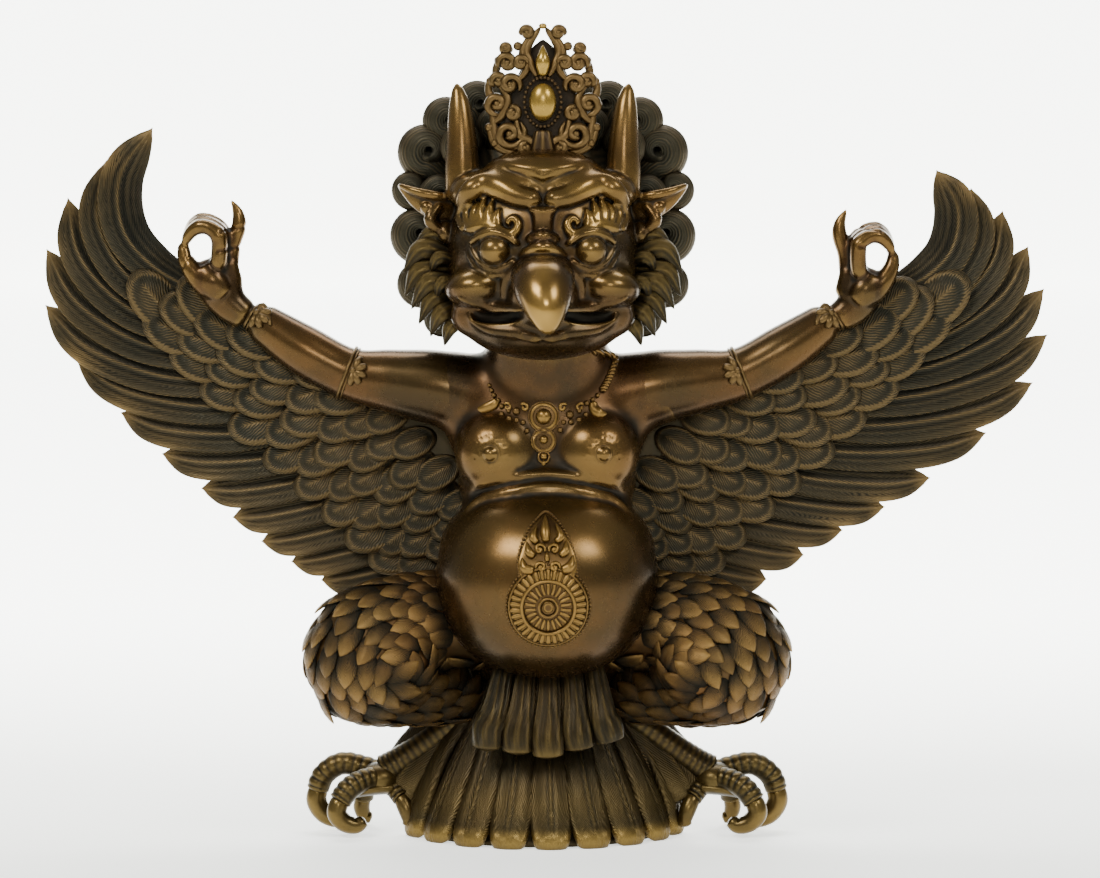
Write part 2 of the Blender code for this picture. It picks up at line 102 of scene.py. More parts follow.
def sweepForm(path, widths, depths=None, facing=(0, -1, 0), around=16, rings=16, blunt=2.0, ripple=None):
    # a rounded bar along a path, with half widths across it and half depths towards facing;
    # ripple(t, angle) gives extra height in units, angle 0 across and 90 towards facing
    theta = np.linspace(0, np.pi, rings + 2)
    t = (1 - np.cos(theta)) / 2
    centre = smoothLine(path, t)
    ahead = unitRows(smoothLine(path, np.minimum(t + 0.01, 1)) - smoothLine(path, np.maximum(t - 0.01, 0)))
    front = unitRows(np.array([facing], float))
    across = unitRows(np.cross(ahead, np.broadcast_to(front, ahead.shape)))
    outward = unitRows(np.cross(across, ahead))
    wide = smoothValues(widths, t)
    deep = smoothValues(depths, t) if depths is not None else wide
    full = np.minimum(1.0, np.sin(theta) * blunt)
    angle = np.linspace(0, 2 * np.pi, around, endpoint=False)
    c, s = np.cos(angle), np.sin(angle)
    extra = ripple(t[:, None], angle[None, :]) if ripple else np.zeros((len(t), around))
    reachAcross = (wide[:, None] + extra) * c[None, :]
    reachOut = (deep[:, None] + extra) * s[None, :]
    ringPoints = centre[:, None, :] + full[:, None, None] * (
        reachAcross[:, :, None] * across[:, None, :] + reachOut[:, :, None] * outward[:, None, :])
    verts = np.vstack([centre[:1], ringPoints[1:-1].reshape(-1, 3), centre[-1:]])
    shareAround = np.broadcast_to(angle[None, :] / (2 * np.pi), (rings, around))
    shareAlong = np.broadcast_to(t[1:-1, None], (rings, around))
    inner = np.stack([shareAround.ravel(), shareAlong.ravel()], axis=1)
    uv = np.vstack([[0.25, 0], inner, [0.25, 1]])
    return verts, tubeFaces(around, rings), uv


def ballForm(centre, radii, lean=(0, 0, 0), around=32, rings=20):
    # an ellipsoid, leaned about X, Y and Z in degrees
    verts, faces, uv = sweepForm([(0, 0, 1), (0, 0, -1)], [1, 1], around=around, rings=rings, blunt=1.0)
    verts = verts * np.asarray(radii, float)
    for axis, degrees in enumerate(lean):
        a = math.radians(degrees)
        i, j = [(1, 2), (2, 0), (0, 1)][axis]
        vi, vj = verts[:, i].copy(), verts[:, j].copy()
        verts[:, i] = vi * math.cos(a) - vj * math.sin(a)
        verts[:, j] = vi * math.sin(a) + vj * math.cos(a)
    return verts + np.asarray(centre, float), faces, uv


def closedWire(path, out, up, wire, thick):
    # a round wire along a closed path, with two directions square to it at each point
    b = np.linspace(0, 2 * np.pi, thick, endpoint=False)[None, :, None]
    verts = path[:, None, :] + wire * (np.cos(b) * out[:, None, :] + np.sin(b) * up[:, None, :])
    verts = verts.reshape(-1, 3)
    return verts, bandFaces(thick, len(path), closed=True), np.zeros((len(verts), 2))


def spiralPath(centre, startRadius, endRadius, startAngle, turn, count=14, lift=0.0):
    # a flat spiral that faces the viewer, and rises by lift towards its eye
    t = np.linspace(0, 1, count)
    angle = np.radians(startAngle + turn * t)
    radius = startRadius + (endRadius - startRadius) * t ** 0.8
    x = centre[0] + radius * np.cos(angle)
    z = centre[2] + radius * np.sin(angle)
    return np.stack([x, centre[1] - lift * t, z], axis=1)


# meshes

def toWorld(verts):
    return (np.asarray(verts, float) + np.array([0, setForward, 0])) * unit


def toUnits(coords):
    return coords / unit - np.array([0, setForward, 0])


def joinForms(forms):
    verts, faces, uvs, start = [], [], [], 0
    for v, f, uv in forms:
        verts.append(v)
        uvs.append(uv)
        faces.extend([tuple(i + start for i in face) for face in f])
        start += len(v)
    return np.vstack(verts), faces, np.vstack(uvs)


def makePiece(name, forms, keepUv=True):
    verts, faces, uv = joinForms(forms)
    mesh = bpy.data.meshes.new(name)
    mesh.from_pydata(toWorld(verts), [], faces)
    if keepUv:
        layer = mesh.uv_layers.new(name="UVMap")
        corner = np.empty(len(mesh.loops), np.int32)
        mesh.loops.foreach_get("vertex_index", corner)
        layer.data.foreach_set("uv", uv[corner].astype(np.float32).ravel())
    turnOutward(mesh)
    piece = bpy.data.objects.new(name, mesh)
    bpy.context.scene.collection.objects.link(piece)
    mesh.shade_smooth()
    return piece


def turnOutward(mesh):
    bm = bmesh.new()
    bm.from_mesh(mesh)
    bmesh.ops.recalc_face_normals(bm, faces=bm.faces)
    bm.to_mesh(mesh)
    bm.free()
    mesh.update()


def applied(piece):
    # the mesh that the modifiers make, with the modifiers taken off
    bpy.context.view_layer.update()
    graph = bpy.context.evaluated_depsgraph_get()
    mesh = bpy.data.meshes.new_from_object(piece.evaluated_get(graph))
    piece.modifiers.clear()
    old = piece.data
    piece.data = mesh
    bpy.data.meshes.remove(old)
    mesh.shade_smooth()
    return piece


def thinned(piece, most):
    # takes triangles out where the surface is nearly flat, down to the given number
    thin = piece.modifiers.new("thin", "DECIMATE")
    thin.ratio = min(1.0, most / triangleCount(piece))
    applied(piece)
    flattenAtFloor(piece)


def flattenAtFloor(piece):
    coords = readCoords(piece)
    coords[:, 2] = np.maximum(coords[:, 2], 0.0)
    writeCoords(piece, coords)


def melted(name, forms, grain, rounds):
    # fuses the forms into one skin of grain metres and smooths the seams
    piece = makePiece(name, forms, keepUv=False)
    melt = piece.modifiers.new("melt", "REMESH")
    melt.mode = "VOXEL"
    melt.voxel_size = grain
    applied(piece)
    relax(piece, rounds)
    return piece


def meshForm(piece):
    coords = toUnits(readCoords(piece))
    faces = [tuple(p.vertices) for p in piece.data.polygons]
    return coords, faces, np.zeros((len(coords), 2))


def remelted(base, forms, grain, rounds, name):
    # melts the forms, the base's own mesh among them, and takes the base away
    bpy.data.objects.remove(base)
    return melted(name, forms, grain, rounds)


def readCoords(piece):
    coords = np.empty(len(piece.data.vertices) * 3)
    piece.data.vertices.foreach_get("co", coords)
    return coords.reshape(-1, 3)


def writeCoords(piece, coords):
    piece.data.vertices.foreach_set("co", coords.ravel())
    piece.data.update()


def readValues(piece, name):
    values = np.empty(len(piece.data.vertices))
    piece.data.attributes[name].data.foreach_get("value", values)
    return values


def readNormals(piece):
    normals = np.empty(len(piece.data.vertices) * 3)
    piece.data.vertices.foreach_get("normal", normals)
    return normals.reshape(-1, 3)


def neighbourMean(values, edges, degree):
    total = np.empty_like(values)
    for axis in range(values.shape[1]):
        column = values[:, axis]
        total[:, axis] = np.bincount(edges[:, 0], column[edges[:, 1]], len(column))
        total[:, axis] += np.bincount(edges[:, 1], column[edges[:, 0]], len(column))
    return total / degree[:, None]


def edgesOf(piece):
    edges = np.empty(len(piece.data.edges) * 2, np.int32)
    piece.data.edges.foreach_get("vertices", edges)
    edges = edges.reshape(-1, 2)
    count = len(piece.data.vertices)
    degree = np.bincount(edges[:, 0], minlength=count) + np.bincount(edges[:, 1], minlength=count)
    return edges, np.maximum(degree, 1).astype(float)


def relax(piece, rounds, strength=0.6):
    edges, degree = edgesOf(piece)
    coords = readCoords(piece)
    for _ in range(rounds):
        coords += strength * (neighbourMean(coords, edges, degree) - coords)
    writeCoords(piece, coords)


def markRelief(piece, rounds=8, scale=0.0004):
    # stores how far each point stands above (+) or below (-) its smoothed surroundings
    edges, degree = edgesOf(piece)
    coords = readCoords(piece)
    smooth = coords.copy()
    for _ in range(rounds):
        smooth += 0.7 * (neighbourMean(smooth, edges, degree) - smooth)
    height = ((coords - smooth) * readNormals(piece)).sum(axis=1) / scale
    height = height[:, None]
    height = 0.5 * height + 0.5 * neighbourMean(height, edges, degree)
    store(piece, "relief", np.clip(height[:, 0], -1, 1))


def store(piece, name, values):
    # values is one number for the whole piece or one for each point
    layer = piece.data.attributes.get(name) or piece.data.attributes.new(name, "FLOAT", "POINT")
    layer.data.foreach_set("value", np.full(len(piece.data.vertices), values, np.float32))


def coat(piece, material, rounds, scale, polishAndHighlight=0.0):
    # marks the hollows and the polished places, some of them painted highlights, and gives the piece its
    # material
    markRelief(piece, rounds, scale)
    store(piece, "polishAndHighlight", polishAndHighlight)
    piece.data.materials.append(material)


def joined(name, pieces):
    # joins plain meshes, each with its own materials, into one piece
    with bpy.context.temp_override(active_object=pieces[0], selected_editable_objects=pieces):
        bpy.ops.object.join()
    pieces[0].name = name
    pieces[0].data.name = name
    return pieces[0]


def surfaceOf(piece):
    coords, faces, _ = meshForm(piece)
    return BVHTree.FromPolygons([Vector(c) for c in coords], faces)


def onFront(tree, x, z, proud=0.0, start=-60):
    # the point of the surface that shows from the front at x, z, stood proud of it
    hit, normal, _, _ = tree.ray_cast(Vector((x, start, z)), Vector((0, 1, 0)))
    if hit is None:
        hit, normal, _, _ = tree.find_nearest(Vector((x, -10, z)))
    return tuple(hit + normal * proud)


def drapedPath(tree, points, proud=0.0):
    return [onFront(tree, x, z, proud) for x, z in points]


def triangleCount(piece):
    return sum(len(p.vertices) - 2 for p in piece.data.polygons)


def finishPiece(piece):
    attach(piece, "root")
    print(piece.name, triangleCount(piece), "triangles")


# shared shader groups

def newGroup(name, inputs, outputs):
    group = bpy.data.node_groups.new(name, "ShaderNodeTree")
    for kind, label, default in inputs:
        socket = group.interface.new_socket(label, in_out="INPUT", socket_type=kind)
        socket.default_value = default
    for kind, label in outputs:
        group.interface.new_socket(label, in_out="OUTPUT", socket_type=kind)
    given, result = group.nodes.new("NodeGroupInput"), group.nodes.new("NodeGroupOutput")
    return group, given, result, partial(mathNode, group)


def node(tree, kind, **settings):
    made = tree.nodes.new(kind)
    for key, value in settings.items():
        setattr(made, key, value)
    return made


def mathNode(tree, operation, first, second=None, third=None, clamp=False):
    made = node(tree, "ShaderNodeMath", operation=operation, use_clamp=clamp)
    for socket, value in zip(made.inputs, (first, second, third)):
        if value is None:
            continue
        if isinstance(value, (int, float)):
            socket.default_value = value
        else:
            tree.links.new(value, socket)
    return made.outputs[0]


def mixColour(tree, factor, a, b):
    made = node(tree, "ShaderNodeMix", data_type="RGBA")
    for socket, value in ((made.inputs[0], factor), (made.inputs[6], a), (made.inputs[7], b)):
        if isinstance(value, (tuple, float)):
            socket.default_value = value
        else:
            tree.links.new(value, socket)
    return made.outputs[2]


def ramp(tree, value, low, high):
    made = node(tree, "ShaderNodeMapRange", interpolation_type="SMOOTHSTEP")
    tree.links.new(value, made.inputs["Value"])
    made.inputs["From Min"].default_value = low
    made.inputs["From Max"].default_value = high
    return made.outputs[0]


def noise(tree, coordinates, scale, detail=4.0, roughness=0.6):
    made = node(tree, "ShaderNodeTexNoise")
    tree.links.new(coordinates, made.inputs["Vector"])
    if isinstance(scale, (int, float)):
        made.inputs["Scale"].default_value = scale
    else:
        tree.links.new(scale, made.inputs["Scale"])
    made.inputs["Detail"].default_value = detail
    made.inputs["Roughness"].default_value = roughness
    return made.outputs["Fac"]


def makeAgedBronze():
    # colour, roughness and small bumps of old bronze: dark patina in the hollows, bare
    # metal on the high and handled places, painted highlights where the polish marks them, mottled brown
    # between
    group, given, result, calc = newGroup("agedBronze", [
        ("NodeSocketColor", "Metal", (0.16, 0.07, 0.03, 1)),
        ("NodeSocketColor", "Mottle", (0.08, 0.04, 0.02, 1)),
        ("NodeSocketColor", "Patina", (0.012, 0.014, 0.010, 1)),
        ("NodeSocketColor", "WornAndHighlight", (0.60, 0.36, 0.12, 1)),
        ("NodeSocketFloat", "Wear", 0.5),
        ("NodeSocketFloat", "Grime", 0.8),
        ("NodeSocketFloat", "Gloss", 0.30),
        ("NodeSocketFloat", "Height", 0.0),
        ("NodeSocketFloat", "Bump", 0.2),
    ], [("NodeSocketColor", "Color"), ("NodeSocketFloat", "Roughness"), ("NodeSocketVector", "Normal")])
    place = node(group, "ShaderNodeTexCoord").outputs["Object"]
    relief = node(group, "ShaderNodeAttribute", attribute_name="relief").outputs["Fac"]
    polishAndHighlight = node(group, "ShaderNodeAttribute", attribute_name="polishAndHighlight").outputs["Fac"]
    broad = noise(group, place, 22.0, 5.0)
    fine = noise(group, place, 170.0, 6.0, 0.7)
    speck = noise(group, place, 620.0, 2.0)
    height = calc("ADD", relief, calc("MULTIPLY", given.outputs["Height"], 0.5))
    unevenLow = calc("MULTIPLY_ADD", fine, 0.5, calc("MULTIPLY", height, -1.0))
    hollow = ramp(group, unevenLow, 0.22, 0.95)
    hollow = calc("MULTIPLY", hollow, given.outputs["Grime"], clamp=True)
    unevenHigh = calc("MULTIPLY_ADD", fine, 0.5, height)
    raised = ramp(group, unevenHigh, 0.38, 1.0)
    raised = calc("MULTIPLY", raised, given.outputs["Wear"])
    # polish marks rubbed metal and, on some pieces, painted highlights; both take the worn colour
    handledAndHighlit = calc("MULTIPLY", polishAndHighlight, calc("MULTIPLY_ADD", broad, 0.7, 0.6))
    bareAndHighlit = calc("MAXIMUM", raised, handledAndHighlit)
    bareAndHighlit = calc("MULTIPLY", bareAndHighlit, calc("SUBTRACT", 1.0, hollow), clamp=True)
    colour = mixColour(group, ramp(group, broad, 0.35, 0.65), given.outputs["Metal"], given.outputs["Mottle"])
    freckle = ramp(group, speck, 0.66, 0.74)
    colour = mixColour(group, calc("MULTIPLY", freckle, 0.2), colour, given.outputs["Patina"])
    colour = mixColour(group, bareAndHighlit, colour, given.outputs["WornAndHighlight"])
    colour = mixColour(group, hollow, colour, given.outputs["Patina"])
    rough = calc("MULTIPLY_ADD", fine, 0.16, given.outputs["Gloss"])
    rough = calc("MULTIPLY_ADD", hollow, 0.32, rough)
    rough = calc("MULTIPLY_ADD", bareAndHighlit, -0.06, rough, clamp=True)
    bumps = calc("MULTIPLY_ADD", fine, 0.25, calc("MULTIPLY", speck, 0.10))
    bumps = calc("ADD", bumps, given.outputs["Height"])
    bump = node(group, "ShaderNodeBump")
    bump.inputs["Distance"].default_value = 0.0006
    group.links.new(given.outputs["Bump"], bump.inputs["Strength"])
    group.links.new(bumps, bump.inputs["Height"])
    group.links.new(colour, result.inputs["Color"])
    group.links.new(rough, result.inputs["Roughness"])
    group.links.new(bump.outputs["Normal"], result.inputs["Normal"])
    return group


def makeBarbs():
    # fine lines that slant away from a shaft at the middle of the UV strip
    group, given, result, calc = newGroup("featherBarbs", [
        ("NodeSocketFloat", "Rows", 60.0),
        ("NodeSocketFloat", "Slant", 0.9),
    ], [("NodeSocketFloat", "Height")])
    uv = node(group, "ShaderNodeTexCoord").outputs["UV"]
    parts = node(group, "ShaderNodeSeparateXYZ")
    group.links.new(uv, parts.inputs[0])
    twice = calc("MULTIPLY", parts.outputs[0], 12.566)
    aside = calc("ABSOLUTE", calc("COSINE", calc("MULTIPLY", twice, 0.5)))
    along = calc("SUBTRACT", parts.outputs[1], calc("MULTIPLY", aside, given.outputs["Slant"]))
    wobble = noise(group, uv, 9.0, 2.0)
    phase = calc("MULTIPLY_ADD", along, given.outputs["Rows"], calc("MULTIPLY", wobble, 1.4))
    lines = calc("SINE", calc("MULTIPLY", phase, 6.2832))
    group.links.new(lines, result.inputs["Height"])
    return group


def makeStrands():
    # fine lines that run the length of the UV strip
    group, given, result, calc = newGroup("hairStrands", [
        ("NodeSocketFloat", "Count", 40.0),
        ("NodeSocketFloat", "Waver", 0.6),
    ], [("NodeSocketFloat", "Height")])
    uv = node(group, "ShaderNodeTexCoord").outputs["UV"]
    parts = node(group, "ShaderNodeSeparateXYZ")
    group.links.new(uv, parts.inputs[0])
    wobble = noise(group, uv, 7.0, 2.0)
    phase = calc("MULTIPLY", parts.outputs[0], given.outputs["Count"])
    phase = calc("MULTIPLY_ADD", wobble, given.outputs["Waver"], phase)
    lines = calc("SINE", calc("MULTIPLY", phase, 6.2832))
    group.links.new(lines, result.inputs["Height"])
    return group


agedBronze = makeAgedBronze()
featherBarbs = makeBarbs()
hairStrands = makeStrands()


def bronzeMaterial(name, look, pattern=None, patternInputs=None, patternStrength=0.5):
    material = bpy.data.materials.new(name)
    material.use_nodes = True
    tree = material.node_tree
    shader = tree.nodes["Principled BSDF"]
    aged = node(tree, "ShaderNodeGroup", node_tree=agedBronze)
    for label, value in look.items():
        aged.inputs[label].default_value = value
    if pattern:
        lines = node(tree, "ShaderNodeGroup", node_tree=pattern)
        for label, value in (patternInputs or {}).items():
            lines.inputs[label].default_value = value
        tree.links.new(mathNode(tree, "MULTIPLY", lines.outputs[0], patternStrength), aged.inputs["Height"])
    tree.links.new(aged.outputs["Color"], shader.inputs["Base Color"])
    tree.links.new(aged.outputs["Roughness"], shader.inputs["Roughness"])
    tree.links.new(aged.outputs["Normal"], shader.inputs["Normal"])
    shader.inputs["Metallic"].default_value = 0.85
    shader.inputs["Specular IOR Level"].default_value = 0.6
    return material


looks = {
    "skin": {
        "Metal": (0.060, 0.0275, 0.0075, 1), "Mottle": (0.026, 0.0155, 0.0055, 1),
        "Patina": (0.006, 0.006, 0.004, 1), "WornAndHighlight": (0.30, 0.18, 0.045, 1),
        "Wear": 0.24, "Grime": 0.85, "Gloss": 0.19, "Bump": 0.05,
    },
    "gold": {
        "Metal": (0.066, 0.034, 0.010, 1), "Mottle": (0.038, 0.020, 0.007, 1),
        "Patina": (0.006, 0.005, 0.003, 1), "WornAndHighlight": (0.25, 0.145, 0.034, 1),
        "Wear": 0.6, "Grime": 1.0, "Gloss": 0.28, "Bump": 0.20,
    },
    "wing": {
        "Metal": (0.022, 0.017, 0.008, 1), "Mottle": (0.013, 0.012, 0.0065, 1),
        "Patina": (0.004, 0.0045, 0.003, 1), "WornAndHighlight": (0.18, 0.115, 0.042, 1),
        "Wear": 0.50, "Grime": 0.95, "Gloss": 0.36, "Bump": 0.40,
    },
    "hair": {
        "Metal": (0.026, 0.023, 0.013, 1), "Mottle": (0.016, 0.016, 0.010, 1),
        "Patina": (0.004, 0.005, 0.0035, 1), "WornAndHighlight": (0.13, 0.085, 0.036, 1),
        "Wear": 0.28, "Grime": 0.95, "Gloss": 0.40, "Bump": 0.35,
    },
    "leg": {
        "Metal": (0.095, 0.044, 0.012, 1), "Mottle": (0.052, 0.030, 0.010, 1),
        "Patina": (0.006, 0.0065, 0.004, 1), "WornAndHighlight": (0.36, 0.215, 0.060, 1),
        "Wear": 0.62, "Grime": 1.0, "Gloss": 0.30, "Bump": 0.35,
    },
}
looks["tail"] = dict(looks["leg"], Metal=(0.022, 0.0145, 0.0050, 1), Mottle=(0.011, 0.0095, 0.0045, 1),
                     WornAndHighlight=(0.19, 0.122, 0.030, 1), Wear=0.30)
looks["crown"] = dict(looks["skin"], Metal=(0.040, 0.022, 0.009, 1), Mottle=(0.022, 0.015, 0.007, 1),
                      WornAndHighlight=(0.24, 0.145, 0.042, 1), Wear=0.30, Grime=1.0, Gloss=0.32, Bump=0.25)
looks["gem"] = dict(looks["gold"], Metal=(0.30, 0.19, 0.035, 1), Mottle=(0.20, 0.12, 0.026, 1),
                    WornAndHighlight=(0.42, 0.27, 0.06, 1), Wear=0.3, Grime=0.3, Gloss=0.20, Bump=0.04)
looks["claw"] = dict(looks["tail"], Metal=(0.042, 0.024, 0.008, 1), Wear=0.5, Gloss=0.24, Bump=0.12)

skinBronze = bronzeMaterial("skinBronze", looks["skin"])
goldBronze = bronzeMaterial("goldBronze", looks["gold"])
wingBronze = bronzeMaterial("wingBronze", looks["wing"], featherBarbs, {"Rows": 34.0, "Slant": 0.35}, 0.5)
covertBronze = bronzeMaterial("covertBronze", dict(looks["wing"], Grime=0.65, Wear=0.38), featherBarbs,
                              {"Rows": 16.0, "Slant": 0.45}, 0.45)
webBronze = bronzeMaterial("webBronze", dict(looks["wing"], Wear=0.15))
hairBronze = bronzeMaterial("hairBronze", looks["hair"], hairStrands, {"Count": 34.0, "Waver": 0.5}, 0.5)
whiskerBronze = bronzeMaterial("whiskerBronze", dict(looks["tail"], Wear=0.32), featherBarbs,
                               {"Rows": 22.0, "Slant": 0.5}, 0.5)
legBronze = bronzeMaterial("legBronze", looks["leg"], featherBarbs, {"Rows": 13.0, "Slant": 0.6}, 0.5)
tailBronze = bronzeMaterial("tailBronze", looks["tail"], featherBarbs, {"Rows": 26.0, "Slant": 0.5}, 0.5)
crownBronze = bronzeMaterial("crownBronze", looks["crown"])
gemBronze = bronzeMaterial("gemBronze", looks["gem"])
clawBronze = bronzeMaterial("clawBronze", looks["claw"])
scaleBronze = bronzeMaterial("scaleBronze", dict(looks["tail"], Wear=0.35, Bump=0.15, Gloss=0.30))



# torso and arms

torso = {
    "name": "torso",
    "grain": 0.00105,
    "folds": [((0, 43.6), (4.5, 43.0), (8.2, 41.8), (10.6, 39.8)),
              ((0, 45.2), (4.2, 44.7), (7.8, 43.9), (10.2, 42.6))],
    "foldSizes": (0.75, 0.55),
    "nipple": (6.9, 47.6),
    # handled places and a painted highlight on the belly's upper left: right, up, radius and how bright
    "handledAndHighlit": ((-6, 48, 3.6, 0.30), (6, 48, 3.6, 0.30), (-5, 38, 7, 0.20), (6, 40, 6, 0.22),
                (0, 27, 8, 0.10)),
}


def buildTorso():
    neck, neckWidths = [(0, 1.5, 50), (0, -0.4, 56.4), (0, -2.2, 63)], [9.6, 7.8, 7.5]
    shoulder = [(5, 0.8, 53.4), (13, 0.9, 55.0), (17, 0.8, 55.5)]
    core = [
        ballForm((0, -4.5, 31.7), (13.8, 11.5, 12.0), around=64, rings=40),
        ballForm((0, -4.0, 35.6), (13.3, 10.3, 8.2), around=64, rings=40),
        ballForm((0, -1.0, 43.5), (11.2, 7.4, 5.6)),
        ballForm((0, 0.2, 50.2), (12.4, 7.0, 9.2), around=48, rings=32),
        ballForm((0, 1.6, 24.5), (11.2, 7.2, 8.4)),
        sweepForm(neck, neckWidths, [6.0, 6.2, 6.0], around=40, rings=30),
    ]
    core += [sweepForm(flip(shoulder, side), [5.6, 4.9, 4.3]) for side in (-1, 1)]
    base = melted("torsoCore", core, 0.0016, 16)
    forms = [ballForm((side * 5.9, -4.2, 47.5), (5.4, 4.6, 5.2)) for side in (-1, 1)]
    base = remelted(base, forms + [meshForm(base)], 0.0013, 6, "torsoBase")
    tree = surfaceOf(base)
    forms = [meshForm(base)]
    for line, size in zip(torso["folds"], torso["foldSizes"]):
        half = drapedPath(tree, line, -0.15)
        path = flip(half[:0:-1], -1) + half
        widths = [size * 0.6] + [size] * (len(path) - 2) + [size * 0.6]
        forms.append(sweepForm(path, widths, around=12, rings=60))
    x, z = torso["nipple"]
    for side in (-1, 1):
        forms.append(ballForm(onFront(tree, side * x, z), (0.75, 0.5, 0.75), around=16, rings=10))
    piece = remelted(base, forms, torso["grain"], 4, torso["name"])
    coords, normals = toUnits(readCoords(piece)), readNormals(piece)
    lift = np.zeros(len(coords))
    front = np.clip(-normals[:, 1] * 2, 0, 1)
    for side in (-1, 1):
        dx, dz = coords[:, 0] - side * x, coords[:, 2] - z
        r = np.hypot(dx, dz)
        lift -= 0.16 * np.exp(-((r - 1.05) / 0.22) ** 2) * front
        rays = np.cos(12 * np.arctan2(dz, dx)) ** 8
        lift -= 0.14 * rays * np.exp(-((r - 1.9) / 0.55) ** 2) * front
    writeCoords(piece, toWorld(coords + normals * lift[:, None]))
    coat(piece, skinBronze, 14, 0.0005, torsoPolishAndHighlight(coords))
    return piece


def torsoPolishAndHighlight(coords):
    # the breasts, the crown of the belly and its left shoulder are brighter: rubbed from handling, with a
    # painted highlight on the belly's upper left
    polishAndHighlight = np.zeros(len(coords))
    for x, z, size, amount in torso["handledAndHighlit"]:
        r = np.hypot(coords[:, 0] - x, coords[:, 2] - z)
        polishAndHighlight += amount * np.exp(-(r / size) ** 2)
    return np.where(coords[:, 1] < -1, polishAndHighlight, 0.05)


rightReach = 0.972       # the viewer's right arm reaches a little less far
arms = {
    "name": "arms",
    "grain": 0.00075,
    "line": [(9, 0.7, 53.6), (13, 0.8, 55), (18.8, 0.8, 55.9), (24.4, 0.8, 56.9), (30.3, 1.0, 60),
             (37.2, 1.6, 64.6)],
    "widths": [4.6, 4.7, 4.0, 3.2, 3.1, 2.1],
}


def knuckles(t, a):
    return 0.10 * np.exp(-((t - 0.36) / 0.05) ** 2) + 0.10 * np.exp(-((t - 0.66) / 0.05) ** 2) + 0 * a


def handForms(side):
    palm = [(36.6, 1.6, 63.7), (39.0, 1.4, 65.5), (40.2, 1.2, 68.0), (40.4, 1.2, 71.2)]
    thumb = [(41.0, 0.9, 66.8), (43.0, 0.6, 68.9), (44.3, 0.8, 71.0), (44.6, 1.0, 73.0)]
    pad = [(39.4, 0.7, 66.4), (41.1, 0.4, 68.2), (42.4, 0.6, 70.0)]
    little = [(38.9, 1.6, 69.6), (38.5, 1.7, 72.6), (37.8, 1.7, 74.9), (37.9, 1.6, 76.6), (38.8, 1.4, 78.3)]
    drop = 0.0 if side < 0 else 1.0

    def settled(path):
        # the viewer's right hand is held a little lower than the left
        rise = [min(max((z - 63) / 5, 0), 1) * drop for _, _, z in path]
        return flip([(x - 0.9 * r, y, z - 1.1 * r) for (x, y, z), r in zip(path, rise)], side)

    forms = [
        sweepForm(settled(palm), [1.8, 2.3, 2.9, 2.4], [1.8, 1.7, 1.5, 1.1], around=28, rings=28),
        sweepForm(settled(thumb), [1.5, 1.35, 1.0, 0.65], around=18, rings=26),
        sweepForm(settled(pad), [1.6, 2.0, 1.3], [1.4, 1.6, 1.1], around=18, rings=16),
        sweepForm(settled(little), [1.1, 0.95, 0.95, 0.7, 0.15], around=18, rings=30),
    ]
    for lean, reach in ((-1.2, -0.3), (0.15, 0.1), (1.4, 0.5)):
        finger = [
            (40.3, 1.2 + lean, 69.4),
            (40.0, 0.9 + lean, 72.6 + reach),
            (40.3, 0.8 + lean, 74.3 + reach),
            (42.0, 0.8 + lean * 0.8, 75.2 + reach),
            (43.5, 0.9 + lean * 0.6, 74.5 + reach),
            (44.5, 1.0 + lean * 0.4, 72.6),
        ]
        widths = [1.05, 1.05, 1.0, 0.9, 0.8, 0.55]
        forms.append(sweepForm(settled(finger), widths, around=18, rings=44, ripple=knuckles))
    return forms


def buildArms():
    pieces = []
    for side in (-1, rightReach):
        forms = [sweepForm(flip(arms["line"], side), arms["widths"], around=48, rings=70)]
        forms += handForms(side)
        arm = melted("arm", forms, arms["grain"], 5)
        coords, normals = toUnits(readCoords(arm)), readNormals(arm)
        lift = np.zeros(len(coords))
        for x, z, angle in ((38.2, 74.6, 0.2), (38.6, 72.2, 0.2), (44.1, 70.6, 0.9)):
            # creases at the finger joints
            dx, dz = side * coords[:, 0] - x, coords[:, 2] - z
            run = dx * math.sin(angle) + dz * math.cos(angle)
            lift -= 0.12 * np.exp(-(run / 0.22) ** 2) * (np.hypot(dx, dz) < 1.8)
        writeCoords(arm, toWorld(coords + normals * lift[:, None]))
        x, z = np.abs(coords[:, 0]), coords[:, 2]
        tips = np.exp(-((z - 77.0) / 2.4) ** 2) + np.exp(-((x - 44.4) / 1.2) ** 2)
        upper = np.exp(-((z - 57.5 - 0.2 * x + 3) / 3.0) ** 2)
        coat(arm, skinBronze, 12, 0.0004, 0.30 * tips + 0.10 * upper)
        pieces.append(arm)
    return joined(arms["name"], pieces)


# head: the carver's beaked face, horns and ears

